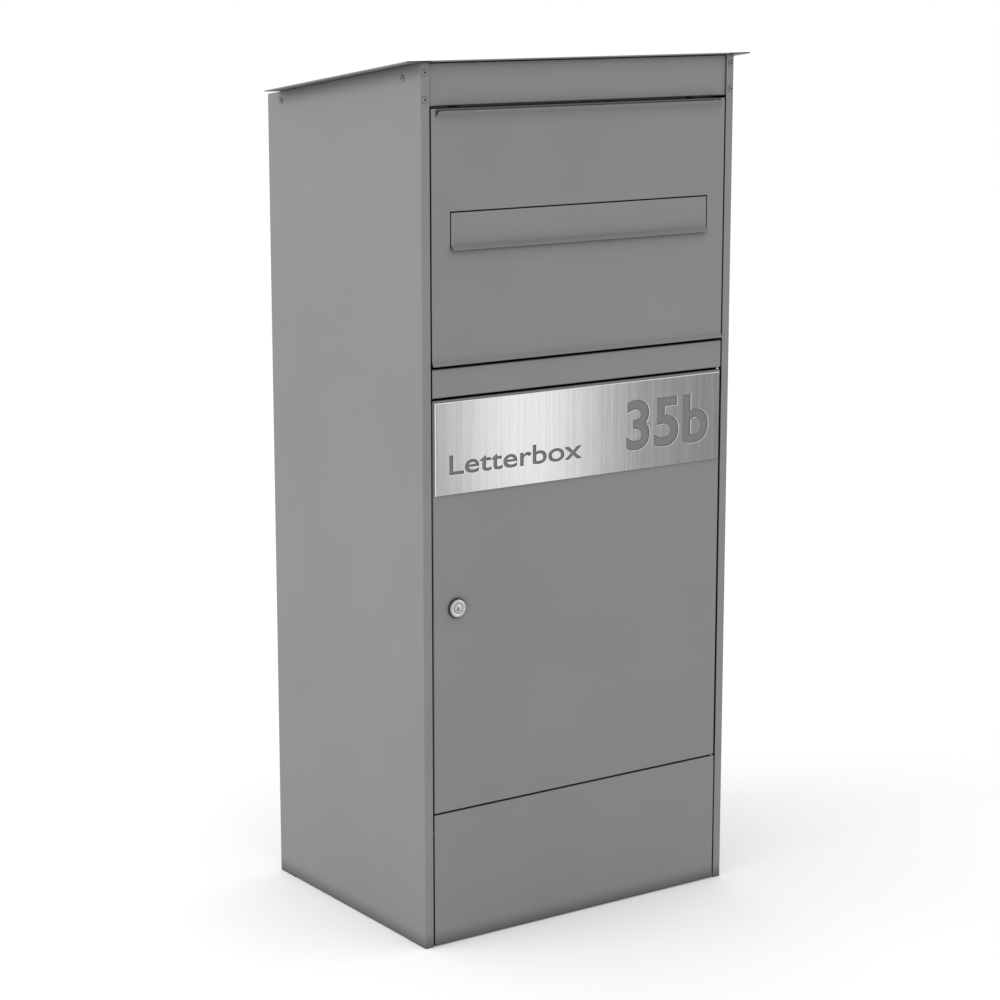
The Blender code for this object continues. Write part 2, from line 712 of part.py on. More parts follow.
letter_path = [
    (0.0, LETTER_TOP), (0.0, LETTER_CREASE), (-LETTER_LIP, LETTER_CREASE - LETTER_LIP),
]
letter_flap = place(
    "letter_flap_panel",
    prism(folded(letter_path, SHEET), "X", -LETTER_HALF, LETTER_HALF),
    powder,
)
for side, s in (("left", -1.0), ("right", 1.0)):
    xs = sorted((s * LETTER_EAR_X, s * (LETTER_EAR_X + SHEET)))
    add(letter_flap, prism(LETTER_EAR, "X", *xs), f"ear_{side}")
rod_hole = rod(
    ROD_RADIUS + RUNNING, (0.0, *LETTER_AXIS), "X", -SILL_HALF, SILL_HALF, ROD_SEGMENTS
)
cut(letter_flap, rod_hole, "rod_hole")

letter_rod = place(
    "letter_flap_rod",
    rod(ROD_RADIUS, (0.0, *LETTER_AXIS), "X", -ROD_HALF, ROD_HALF, ROD_SEGMENTS),
    zinc,
)
smooth(letter_rod)

frame_low, frame_high = LETTER_FRAME_ENDS
letter_frame = place(
    "letter_frame",
    block(
        (-LETTER_FRAME_HALF, BEHIND_FLANGE, frame_low),
        (LETTER_FRAME_HALF, BEHIND_FLANGE + SHEET, frame_high),
    ),
    zinc,
)
# The window is wider at the top, where the flap's upper edge swings in
window = [
    (-WINDOW_HALF, SLOT_BOTTOM + SHEET), (WINDOW_HALF, SLOT_BOTTOM + SHEET),
    (WINDOW_HALF, WINDOW_STEP), (WINDOW_WIDE, WINDOW_STEP), (WINDOW_WIDE, frame_high + LAP),
    (-WINDOW_WIDE, frame_high + LAP), (-WINDOW_WIDE, WINDOW_STEP), (-WINDOW_HALF, WINDOW_STEP),
]
cut(letter_frame, prism(window, "Y", BEHIND_FLANGE - LAP, BEHIND_FLANGE + SHEET + LAP), "window")
sill_low = (-SILL_HALF, BEHIND_FLANGE + SKIM, SLOT_BOTTOM - SHEET)
sill = block(sill_low, (SILL_HALF, SILL_BACK, SLOT_BOTTOM))
add(letter_frame, sill, "sill")


def letter_lug(side, s):
    """The bracket that holds the rod from behind, hollowed where the flap's top edge swings."""
    hub = arc(LETTER_AXIS, LUG_HUB, -90.0, -330.0, 16)
    clearance = arc(LETTER_AXIS, LUG_SWING, 30.0, 109.0, 8)
    near, far = LUG_DEPTHS
    low, high = LUG_HEIGHTS
    plate = [(BEHIND_FLANGE, high), (far, high), (far, low), (near, low), *hub, *clearance]
    xs = sorted((s * LUG_X, s * (LUG_X + LUG_THICK)))
    lug = place(f"letter_lug_{side}", prism(plate, "X", *xs), zinc)
    foot_x = sorted((s * (LUG_X + LUG_THICK / 2), s * LUG_FOOT_X))
    foot_low = (foot_x[0], BEHIND_FLANGE + SKIM, LUG_FOOT_BOTTOM)
    foot = block(foot_low, (foot_x[1], BEHIND_FLANGE + LUG_THICK, high - SKIM))
    add(lug, foot, "foot")
    hole_at = (s * LUG_X, *LETTER_AXIS)
    hole = rod(ROD_RADIUS + RUNNING, hole_at, "X", -PAST, PAST, ROD_SEGMENTS)
    cut(lug, hole, "rod_hole")
    return lug


letter_lugs = pair(letter_lug)


# Door: a pan with its rim folded back, on two upright pins

door_panel = place(
    "door_panel",
    block((-FRONT_HALF, 0.0, DOOR_BOTTOM), (FRONT_HALF, DOOR_DEPTH, DOOR_TOP)),
    powder,
)
pan_low = (-FRONT_HALF + SHEET, SHEET, DOOR_BOTTOM + SHEET)
pan_high = (FRONT_HALF - SHEET, DOOR_DEPTH + LAP, DOOR_TOP - SHEET)
cut(door_panel, block(pan_low, pan_high), "pan")
lock_at = (LOCK[0], 0.0, LOCK[1])
door_holes = [
    rod(DOOR_PIN_RADIUS + RUNNING, (*DOOR_AXIS, z), "Z", -LAP, LAP) for z in (DOOR_TOP, DOOR_BOTTOM)
]
door_holes.append(rod(LOCK_BARREL_RADIUS + GAP, lock_at, "Y", -LAP, LAP))
cut(door_panel, together(door_holes), "pin_and_lock_holes")


def door_pin(name, low, shoulder_low, shoulder_high, high):
    profile = [
        (0.0, low), (DOOR_PIN_RADIUS, low), (DOOR_PIN_RADIUS, shoulder_low),
        (DOOR_SHOULDER, shoulder_low), (DOOR_SHOULDER, shoulder_high),
        (DOOR_PIN_RADIUS, shoulder_high), (DOOR_PIN_RADIUS, high), (0.0, high),
    ]
    pin = place(name, turned(profile, (*DOOR_AXIS, 0.0), "Z", 24), zinc)
    smooth(pin)
    return pin


top_ends = (DOOR_TOP - DOOR_PIN_IN_DOOR, RAIL_BOTTOM + DOOR_PIN_IN_FRAME)
low_ends = (PLINTH_TOP - DOOR_PIN_IN_FRAME, DOOR_BOTTOM + DOOR_PIN_IN_DOOR)
door_pins = [
    door_pin("door_pin_top", top_ends[0], DOOR_TOP + GAP, RAIL_BOTTOM - GAP, top_ends[1]),
    door_pin("door_pin_bottom", low_ends[0], PLINTH_TOP + GAP, DOOR_BOTTOM - GAP, low_ends[1]),
]

hat_path = [
    (-HAT_BRIM, BEHIND_FLANGE), (-HAT_HALF, BEHIND_FLANGE), (-HAT_HALF, HAT_BACK),
    (HAT_HALF, HAT_BACK), (HAT_HALF, BEHIND_FLANGE), (HAT_BRIM, BEHIND_FLANGE),
]
hat = prism(folded(hat_path, THIN), "Z", DOOR_BOTTOM + HAT_SHORT, DOOR_TOP - HAT_SHORT)
door_stiffener = place("door_stiffener", hat, zinc)

plate_back = -GAP
plate_front = plate_back - SHEET
name_plate = place(
    "name_plate",
    block((-PLATE_HALF, plate_front, PLATE_BOTTOM), (PLATE_HALF, plate_back, PLATE_TOP)),
    stainless,
)
chamfer = name_plate.modifiers.new("chamfer", "BEVEL")
chamfer.width = PLATE_CHAMFER * MM
chamfer.segments = 1
chamfer.limit_method = "ANGLE"


# Cam lock: body, washer, nut, plug, cam and screw. The cam points up at rest, which is unlocked

head_back = -(GAP + WASHER_THICK + GAP)
lock_profile = [
    (PLUG_RADIUS + RUNNING, -LOCK_HEAD), (LOCK_HEAD_RADIUS - LOCK_HEAD_EDGE, -LOCK_HEAD),
    (LOCK_HEAD_RADIUS, -LOCK_HEAD + LOCK_HEAD_EDGE), (LOCK_HEAD_RADIUS, head_back),
    (LOCK_BARREL_RADIUS, head_back), (LOCK_BARREL_RADIUS, LOCK_BARREL_END),
    (PLUG_RADIUS + RUNNING, LOCK_BARREL_END),
]
lock_body = place("lock_body", turned(lock_profile, lock_at, "Y", LOCK_SEGMENTS), nickel)
smooth(lock_body)

washer_profile = [
    (LOCK_BARREL_RADIUS + GAP, -GAP - WASHER_THICK), (WASHER_RADIUS, -GAP - WASHER_THICK),
    (WASHER_RADIUS, -GAP), (LOCK_BARREL_RADIUS + GAP, -GAP),
]
lock_washer = place("lock_washer", turned(washer_profile, lock_at, "Y", LOCK_SEGMENTS), rubber)
smooth(lock_washer)

hexagon = arc(LOCK, NUT_ACROSS_FLATS / math.sqrt(3.0), 0.0, 300.0, 5)
nut = prism(hexagon, "Y", BEHIND_FLANGE, BEHIND_FLANGE + NUT_THICK)
lock_nut = place("lock_nut", nut, zinc)
thread = rod(LOCK_BARREL_RADIUS + RUNNING * 2, lock_at, "Y", 0.0, PAST, LOCK_SEGMENTS)
cut(lock_nut, thread, "thread")

plug_profile = [
    (0.0, -LOCK_HEAD), (PLUG_RADIUS - PLUG_EDGE, -LOCK_HEAD), (PLUG_RADIUS, -LOCK_HEAD + PLUG_EDGE),
    (PLUG_RADIUS, CAM_FRONT - GAP), (0.0, CAM_FRONT - GAP),
]
lock_plug = place("lock_plug", turned(plug_profile, lock_at, "Y", LOCK_SEGMENTS), nickel)
smooth(lock_plug)
lock_x, lock_z = LOCK
cam_back = CAM_FRONT + CAM_THICK
half = PLUG_SQUARE / 2
tail_low = (lock_x - half, CAM_FRONT - LAP, lock_z - half)
tail = block(tail_low, (lock_x + half, cam_back + RUNNING, lock_z + half))
add(lock_plug, tail, "square_tail")
key_x, key_z = KEYWAY_HALF
keyway_low = (lock_x - key_x, -LOCK_HEAD - LAP, lock_z - key_z)
keyway = block(keyway_low, (lock_x + key_x, KEYWAY_END, lock_z + key_z))
screw_bore = rod(SCREW_BORE, lock_at, "Y", SCREW_BORE_START, cam_back + PAST, 20)
cut(lock_plug, together([keyway, screw_bore]), "keyway_and_bore")

cam_tip = lock_z + CAM_LENGTH
cam_outline = [
    *arc(LOCK, CAM_HUB, 180.0, 360.0, 12),
    (lock_x + CAM_HALF, cam_tip - CAM_CORNER), (lock_x + CAM_HALF - CAM_CORNER, cam_tip),
    (lock_x - CAM_HALF + CAM_CORNER, cam_tip), (lock_x - CAM_HALF, cam_tip - CAM_CORNER),
]
lock_cam = place("lock_cam", prism(cam_outline, "Y", CAM_FRONT, cam_back), zinc)
reach = half + RUNNING
square_low = (lock_x - reach, CAM_FRONT - LAP, lock_z - reach)
cut(lock_cam, block(square_low, (lock_x + reach, cam_back + LAP, lock_z + reach)), "square_hole")

screw_front = cam_back + GAP
screw_profile = [(0.0, SCREW_START), (SCREW_SHANK, SCREW_START), (SCREW_SHANK, screw_front)]
step = screw_front
for radius, height in (SCREW_FLANGE, SCREW_HEAD):
    screw_profile += [(radius, step), (radius, screw_front + height)]
    step = screw_front + height
top_radius, top = SCREW_TOP
screw_profile += [(top_radius, screw_front + top), (0.0, screw_front + top)]
cam_screw = place("cam_screw", turned(screw_profile, lock_at, "Y", 24), zinc)
smooth(cam_screw)


# Each moving piece hangs from an empty on its joint's axis

def axis_empty(name, at):
    empty = bpy.data.objects.new(name, None)
    empty.location = (Vector(at) - ORIGIN) * MM
    bpy.context.scene.collection.objects.link(empty)
    return empty


def hang(empty, pieces):
    for piece in pieces:
        piece.parent = empty
        piece.matrix_parent_inverse = Matrix.Translation(-empty.location)


flap_axis = axis_empty("parcel_flap_axis", (0.0, *FLAP_AXIS))
letter_axis = axis_empty("letter_flap_axis", (0.0, *LETTER_AXIS))
door_axis = axis_empty("door_axis", (*DOOR_AXIS, DOOR_BOTTOM))
lock_axis = axis_empty("lock_axis", lock_at)
cheeks = [bpy.data.objects[f"hopper_cheek_{side}"] for side in ("left", "right")]
hang(
    flap_axis,
    [flap_panel, flap_stiffener, chute, letter_frame, *cheeks, *flap_pins, *letter_lugs],
)
hang(letter_axis, [letter_flap, letter_rod])
hang(
    door_axis,
    [door_panel, *door_pins, door_stiffener, name_plate, lock_body, lock_washer, lock_nut],
)
hang(lock_axis, [lock_plug, lock_cam, cam_screw])
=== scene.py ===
import json
import math

import bmesh
import bpy
from mathutils import Matrix, Vector


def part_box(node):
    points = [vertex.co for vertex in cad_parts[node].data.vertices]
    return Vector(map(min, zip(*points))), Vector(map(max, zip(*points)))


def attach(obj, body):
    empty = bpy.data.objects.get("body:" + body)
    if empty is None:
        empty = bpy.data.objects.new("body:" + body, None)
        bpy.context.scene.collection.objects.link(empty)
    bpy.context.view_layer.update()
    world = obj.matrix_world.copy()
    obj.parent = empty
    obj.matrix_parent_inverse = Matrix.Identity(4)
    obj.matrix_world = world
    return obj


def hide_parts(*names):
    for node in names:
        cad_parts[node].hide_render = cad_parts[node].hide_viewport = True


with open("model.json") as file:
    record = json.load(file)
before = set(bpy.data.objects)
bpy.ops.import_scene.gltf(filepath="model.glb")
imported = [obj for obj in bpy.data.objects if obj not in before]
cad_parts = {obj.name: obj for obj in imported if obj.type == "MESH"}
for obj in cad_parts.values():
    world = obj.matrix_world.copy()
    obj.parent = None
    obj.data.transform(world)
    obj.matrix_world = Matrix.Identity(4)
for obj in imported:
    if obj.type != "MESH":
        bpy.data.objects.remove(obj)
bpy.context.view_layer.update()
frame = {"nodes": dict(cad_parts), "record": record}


# --- Camera -----------------------------------------------------------------------------------
# It stands to the front left, at about the height of the roof and looking slightly down, on a
# long lens, as a catalogue picture of such a box is taken.

CAMERA_AT = (-1.94299, -2.80099, 1.22148)
CAMERA_TILT = math.radians(78.321)
CAMERA_TURN = math.radians(-34.737)
LENS = 95.06
SENSOR = 36.0
FARTHEST_SEEN = 60.0

camera_data = bpy.data.cameras.new("studio_camera")
camera_data.sensor_width = SENSOR
camera_data.lens = LENS
camera_data.clip_end = FARTHEST_SEEN
studio_camera = bpy.data.objects.new("studio_camera", camera_data)
studio_camera.location = CAMERA_AT
studio_camera.rotation_euler = (CAMERA_TILT, 0.0, CAMERA_TURN)
bpy.context.scene.collection.objects.link(studio_camera)
bpy.context.scene.camera = studio_camera


# --- Side panels ------------------------------------------------------------------------------
# Each side is one 1.5 mm steel sheet: a web with a narrow flange folded in at the front and at
# the back, and a foot flange between two relief cuts. The top is sheared to the roof's slope.

MM = 0.001
SHEET = 1.5 * MM
BEND = 1.6 * MM
LEAST_FOLD = math.radians(20)
SHARP_FOLD = 1.2
SHEARED_CORNER = math.radians(40)
SHEARED_ROUND = 0.25 * MM
ROOF_SLOPE = 0.142
SIDE_FRONT_FLANGE = 12 * MM
SIDE_BACK_FLANGE = 15 * MM
FOOT_FLANGE = 20 * MM
RELIEF_WIDTH = 1.2 * MM
RELIEF_HEIGHT = 2.6 * MM
FOOT_START = 44 * MM
FOOT_END = 321 * MM
STOCK_FOR_SLOPE = 20 * MM
CLOSE = 0.01 * MM

panel_low, panel_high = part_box("side_panel_right")
FRONT = panel_low.y
BACK = panel_high.y
SIDE = panel_high.x
GROUND = panel_low.z
foot_ends = (FRONT + FOOT_START, FRONT + FOOT_END)


def nodes_for(name):
    """An empty node tree with a shader, and functions that add and join nodes."""
    material = bpy.data.materials.new(name)
    material.use_nodes = True
    tree = material.node_tree
    shader = tree.nodes["Principled BSDF"]

    def node(kind, **settings):
        made = tree.nodes.new(kind)
        for key, value in settings.items():
            if key in made.inputs.keys():
                made.inputs[key].default_value = value
            else:
                setattr(made, key, value)
        return made

    def join(source, target):
        tree.links.new(source, target)

    return material, shader, node, join


def on_piece(node, join, *textures):
    """Fixes textures to the piece itself, by its Object coordinates."""
    place = node("ShaderNodeTexCoord")
    for texture in textures:
        join(place.outputs["Object"], texture.inputs["Vector"])


def mixed(node, join, first, second, share):
    """A texture with this share of a second one in it."""
    both = node("ShaderNodeMix", data_type="FLOAT")
    both.inputs["Factor"].default_value = share
    join(first.outputs["Fac"], both.inputs["A"])
    join(second, both.inputs["B"])
    return both.outputs["Result"]


def tones(node, join, texture, dark, light, start=0.0, end=1.0):
    """A colour that goes from dark to light as a texture goes from start to end."""
    ramp = node("ShaderNodeValToRGB")
    low, high = ramp.color_ramp.elements
    low.position, high.position = start, end
    low.color, high.color = (*dark, 1.0), (*light, 1.0)
    join(texture, ramp.inputs["Fac"])
    return ramp.outputs["Color"]


def uneven_gloss(node, join, shader, texture, least, most):
    """A roughness that follows a texture."""
    gloss = node("ShaderNodeMapRange")
    gloss.inputs["To Min"].default_value = least
    gloss.inputs["To Max"].default_value = most
    join(texture, gloss.inputs["Value"])
    join(gloss.outputs["Result"], shader.inputs["Roughness"])


def relief(node, join, shader, texture, strength, depth):
    """Fine bumps of this depth, where a texture is high."""
    bump = node("ShaderNodeBump", Strength=strength, Distance=depth)
    join(texture, bump.inputs["Height"])
    join(bump.outputs["Normal"], shader.inputs["Normal"])


def painted_shade_in_corners(node, join, shader, colour, reach=22 * MM, shade_power=1.5):
    """Paints shade into a colour: darkens it where the surface is shut in, as in a seam, a fold
    or under a lip.
    """
    shut_in = node("ShaderNodeAmbientOcclusion", samples=12, Distance=reach)
    open_share = node("ShaderNodeMath", operation="POWER")
    open_share.inputs[1].default_value = shade_power
    join(shut_in.outputs["AO"], open_share.inputs[0])
    shaded = node("ShaderNodeMix", data_type="RGBA", blend_type="MULTIPLY")
    shaded.inputs["Factor"].default_value = 1.0
    join(colour, shaded.inputs[6])
    join(open_share.outputs["Value"], shaded.inputs[7])
    join(shaded.outputs[2], shader.inputs["Base Color"])


def powder_coat(name, light, dark):
    """Baked polyester powder in a fine-texture satin: a tight orange peel with fine grains in it,
    and a film that varies a little in thickness, and so in tone, over the sheet."""
    material, shader, node, join = nodes_for(name)
    cloud = node("ShaderNodeTexNoise", Scale=7.0, Detail=3.0, Roughness=0.55)
    peel = node("ShaderNodeTexNoise", Scale=900.0, Detail=2.0, Roughness=0.6)
    grain = node("ShaderNodeTexVoronoi", Scale=2300.0)
    on_piece(node, join, cloud, peel, grain)
    tone = mixed(node, join, cloud, grain.outputs["Distance"], 0.45)
    coat = tones(node, join, tone, dark, light, 0.25, 0.75)
    # Painted shade: the coat's colour is darkened in seams, folds and under lips.
    painted_shade_in_corners(node, join, shader, coat)
    uneven_gloss(node, join, shader, peel.outputs["Fac"], 0.44, 0.62)
    height = node("ShaderNodeMath", operation="ADD")
    join(peel.outputs["Fac"], height.inputs[0])
    join(grain.outputs["Distance"], height.inputs[1])
    relief(node, join, shader, height.outputs["Value"], 0.35, 0.05 * MM)
    shader.inputs["Specular IOR Level"].default_value = 0.42
    return material


housing_coat = powder_coat("housing_coat", (0.205, 0.204, 0.198), (0.181, 0.180, 0.175))


def ribbon(points, axis, low, high):
    """A sheet with no thickness yet: a line of points pushed along X or Z."""
    bm = bmesh.new()
    if axis == "X":
        verts = [bm.verts.new((low, a, b)) for a, b in points]
        push = Vector((high - low, 0.0, 0.0))
    else:
        verts = [bm.verts.new((a, b, low)) for a, b in points]
        push = Vector((0.0, 0.0, high - low))
    edges = [bm.edges.new(ends) for ends in zip(verts, verts[1:])]
    carry(bm, edges, push)
    return bm


def carry(bm, edges, push):
    """Draws a sheet on from some of its edges, and returns the edges where it now ends."""
    made = bmesh.ops.extrude_edge_only(bm, edges=edges)["geom"]
    moved = [item for item in made if isinstance(item, bmesh.types.BMVert)]
    bmesh.ops.translate(bm, vec=push, verts=moved)
    return [e for e in bm.edges if e.verts[0] in moved and e.verts[1] in moved]


def score(bm, axis, *places):
    """Adds a line across the sheet at each place along an axis, for a later cut or fold."""
    normal = Vector([float(axis == name) for name in "XYZ"])
    for at in places:
        whole = bm.verts[:] + bm.edges[:] + bm.faces[:]
        bmesh.ops.bisect_plane(bm, geom=whole, plane_co=normal * at, plane_no=normal)


def edges_in(bm, low, high):
    """The edges that lie wholly inside a box."""
    def inside(point):
        return all(l - CLOSE < p < h + CLOSE for l, p, h in zip(low, point, high))
    return [e for e in bm.edges if inside(e.verts[0].co) and inside(e.verts[1].co)]


def punch(bm, low, high):
    """Takes out the faces whose middles are inside a box."""
    def inside(point):
        return all(l < p < h for l, p, h in zip(low, point, high))
    gone = [f for f in bm.faces if inside(f.calc_center_median())]
    bmesh.ops.delete(bm, geom=gone, context="FACES")


def fold(bm, radius=BEND):
    """Gives every fold of a sheet a bend of this outer radius."""
    folds = {}
    for edge in bm.edges:
        if len(edge.link_faces) == 2 and edge.calc_face_angle() > LEAST_FOLD:
            folds.setdefault(round(edge.calc_face_angle(), 2), []).append(edge)
    for angle, edges in folds.items():
        bmesh.ops.bevel(
            bm, geom=edges, offset=radius * math.tan(angle / 2), offset_type="OFFSET",
            segments=6 if angle > SHARP_FOLD else 4, profile=0.5, affect="EDGES", material=-1,
        )


def set_down(name, bm):
    """Makes an object of a finished mesh."""
    mesh = bpy.data.meshes.new(name)
    bm.to_mesh(mesh)
    bm.free()
    made = bpy.data.objects.new(name, mesh)
    bpy.context.scene.collection.objects.link(made)
    return made


def new_piece(name, bm, material, body, node):
    """Makes a piece of its mesh, hangs it on the body it moves with, and hides the node it stands
    in for.
    """
    piece = set_down(name, bm)
    piece.data.materials.append(material)
    piece.data.shade_smooth()
    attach(piece, body)
    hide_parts(node)
    return piece


def sheet_piece(name, bm, body, node, face_point):
    """A bent sheet. Its mesh is the outer face, as seen from face_point, and the wall goes behind
    it. The sheared edges are rounded a little, as the coat makes them."""
    bmesh.ops.remove_doubles(bm, verts=bm.verts, dist=CLOSE / 10)
    bmesh.ops.recalc_face_normals(bm, faces=bm.faces)
    front = min(bm.faces, key=lambda f: (f.calc_center_median() - Vector(face_point)).length)
    if (Vector(face_point) - front.calc_center_median()).dot(front.normal) < 0:
        bmesh.ops.reverse_faces(bm, faces=bm.faces)
    piece = new_piece(name, bm, housing_coat, body, node)
    wall = piece.modifiers.new("wall", "SOLIDIFY")
    wall.thickness = SHEET
    wall.offset = -1.0
    wall.use_even_offset = True
    sheared = piece.modifiers.new("sheared_edges", "BEVEL")
    sheared.width = SHEARED_ROUND
    sheared.segments = 2
    sheared.limit_method = "ANGLE"
    sheared.angle_limit = SHEARED_CORNER
    flats = piece.modifiers.new("flats", "WEIGHTED_NORMAL")
    flats.keep_sharp = True
    return piece


def settle(piece):
    """Gives a piece the mesh that its modifiers make, so that its faces can be told apart."""
    bpy.context.view_layer.update()
    graph = bpy.context.evaluated_depsgraph_get()
    piece.data = bpy.data.meshes.new_from_object(piece.evaluated_get(graph))
    piece.modifiers.clear()


for side, s in (("left", -1.0), ("right", 1.0)):
    outline = [
        (s * (SIDE - SIDE_FRONT_FLANGE), FRONT), (s * SIDE, FRONT),
        (s * SIDE, BACK), (s * (SIDE - SIDE_BACK_FLANGE), BACK),
    ]
    bm = ribbon(outline, "Z", GROUND, panel_high.z + STOCK_FOR_SLOPE)
    near, far = foot_ends
    score(bm, "Y", near - RELIEF_WIDTH, near, far, far + RELIEF_WIDTH)
    score(bm, "Z", RELIEF_HEIGHT)
    for start in (near - RELIEF_WIDTH, far):
        punch(bm, (-1, start, 0), (1, start + RELIEF_WIDTH, RELIEF_HEIGHT))
    foot = edges_in(bm, (-1, near, GROUND), (1, far, GROUND))
    carry(bm, foot, Vector((-s * FOOT_FLANGE, 0, 0)))
    fold(bm)
    bmesh.ops.bisect_plane(
        bm, geom=bm.verts[:] + bm.edges[:] + bm.faces[:], plane_co=(0, FRONT, panel_high.z),
        plane_no=Vector((0, ROOF_SLOPE, 1)).normalized(), clear_outer=True,
    )
    sheet_piece(f"folded_side_{side}", bm, "housing", f"side_panel_{side}", (s * 2, 0, 0.6))


# --- Roof sheet -------------------------------------------------------------------------------
# The sloping sheet stands out past the sides and the front, and drops at the back. The front cut
# ends of its ears get a near-black material, as painted shade. The fascia is welded under it and
# folded between the front flanges.

ROOF_BEND = 2.0 * MM
TIGHT_BEND = 1.55 * MM
ROOF_FRONT = FRONT - 5 * MM
EAR_BACK = FRONT + 330 * MM
FASCIA_HALF = 225.2 * MM
FASCIA_BACK = FRONT + 1.8 * MM
FASCIA_BOTTOM = 1046 * MM
FASCIA_RETURN = 14 * MM
WING_TOP = 1089 * MM
WELD_GAP = 0.1 * MM
SLIDE_FIT = 0.3 * MM
CUT_END = 0.3 * MM


def painted_shade_steel(name, tone):
    """Near-black steel, a little uneven, that paints shade where it is put, as on cut ends and in
    pits.
    """
    material, shader, node, join = nodes_for(name)
    stain = node("ShaderNodeTexNoise", Scale=900.0, Detail=3.0)
    on_piece(node, join, stain)
    dark, rusty = [tone * 0.6] * 3, (tone * 1.5, tone * 1.45, tone * 1.4)
    colour = tones(node, join, stain.outputs["Fac"], dark, rusty)
    join(colour, shader.inputs["Base Color"])
    relief(node, join, shader, stain.outputs["Fac"], 0.3, 0.04 * MM)
    shader.inputs["Roughness"].default_value = 0.75
    shader.inputs["Specular IOR Level"].default_value = 0.2
    return material


roof_low, roof_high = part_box("roof_sheet")
inside_half = SIDE - SHEET - SLIDE_FIT


def roof_top(y):
    return roof_high.z - ROOF_SLOPE * (y - ROOF_FRONT)


roof_path = [
    (roof_high.y, roof_low.z), (roof_high.y, roof_top(roof_high.y)), (ROOF_FRONT, roof_high.z),
]
bm = ribbon(roof_path, "X", -FASCIA_HALF, FASCIA_HALF)
score(bm, "Y", EAR_BACK)
for s in (-1.0, 1.0):
    end = s * FASCIA_HALF
    ear = edges_in(bm, (end, ROOF_FRONT, FASCIA_BOTTOM), (end, EAR_BACK, 2.0))
    carry(bm, ear, Vector((s * (roof_high.x - FASCIA_HALF), 0, 0)))
fold(bm, ROOF_BEND)
roof = sheet_piece("folded_roof", bm, "housing", "roof_sheet", (0, 0, 3))
settle(roof)
# Painted shade: the front cut ends of the ears get a near-black material.
roof.data.materials.append(painted_shade_steel("painted_shade_cut_end", 0.02))
for face in roof.data.polygons:
    at_end = face.center.y < ROOF_FRONT + CUT_END and abs(face.center.x) > FASCIA_HALF
    face.material_index = int(at_end and face.normal.y < -0.5)

seat = (1 + ROOF_SLOPE ** 2) ** 0.5 * SHEET + WELD_GAP
fascia_path = [
    (y, roof_top(y) - seat) for y in (FASCIA_BACK + FASCIA_RETURN, FASCIA_BACK)
] + [(FASCIA_BACK, FASCIA_BOTTOM), (FASCIA_BACK + FASCIA_RETURN, FASCIA_BOTTOM)]
bm = ribbon(fascia_path, "X", -FASCIA_HALF, FASCIA_HALF)
score(bm, "Z", FASCIA_BOTTOM + SHEET, WING_TOP)
for s in (-1.0, 1.0):
    end = s * FASCIA_HALF
    wing = edges_in(bm, (end, FASCIA_BACK, FASCIA_BOTTOM + SHEET), (end, FASCIA_BACK, WING_TOP))
    carry(bm, wing, Vector((s * (inside_half - FASCIA_HALF), 0, 0)))
fold(bm, TIGHT_BEND)
sheet_piece("folded_fascia", bm, "housing", "roof_sheet", (0, -2, 1.07))


# --- Blind rivets -----------------------------------------------------------------------------
# Eight domed aluminium blind rivets hold the roof: two through each front flange, two through
# each side. Their heads are coated with the box, and the pulled mandrel leaves a small pit.

RIVET_HEAD = 3.9 * MM
RIVET_RIM = 0.45 * MM
RIVET_DOME = 1.2 * MM
RIVET_SHANK = 2.0 * MM
RIVET_LENGTH = 5.2 * MM
RIVET_TAIL = 2.8 * MM
TAIL_START = 3.6 * MM
TAIL_FULL = 4.0 * MM
MANDREL = 1.3 * MM
PIT_FLOOR = 0.7 * MM
HARD_EDGE = math.radians(32)


def spun(profile, segments):
    """A turned piece about Z: (radius, height) points, closed where they leave the axis."""
    bm = bmesh.new()
    verts = [bm.verts.new((radius, 0.0, height)) for radius, height in profile]
    ends = list(zip(verts, verts[1:]))
    if profile[0][0] > 0:
        ends.append((verts[-1], verts[0]))
    edges = [bm.edges.new(two) for two in ends]
    bmesh.ops.spin(
        bm, geom=verts + edges, cent=(0, 0, 0), axis=(0, 0, 1), dvec=(0, 0, 0),
        angle=math.tau, steps=segments, use_merge=True, use_normal_flip=False,
        use_duplicate=False,
    )
    bmesh.ops.remove_doubles(bm, verts=bm.verts, dist=CLOSE / 20)
    bmesh.ops.recalc_face_normals(bm, faces=bm.faces)
    return bm


def facing(outward):
    """The turn that takes +Z to a direction."""
    return Vector(outward).to_track_quat("Z", "Y").to_matrix().to_4x4()


def hard_edges(piece):
    piece.data.set_sharp_from_angle(angle=HARD_EDGE)


def is_pit(middle):
    return math.hypot(middle.x, middle.y) < MANDREL * 1.01 and middle.z > PIT_FLOOR - CLOSE


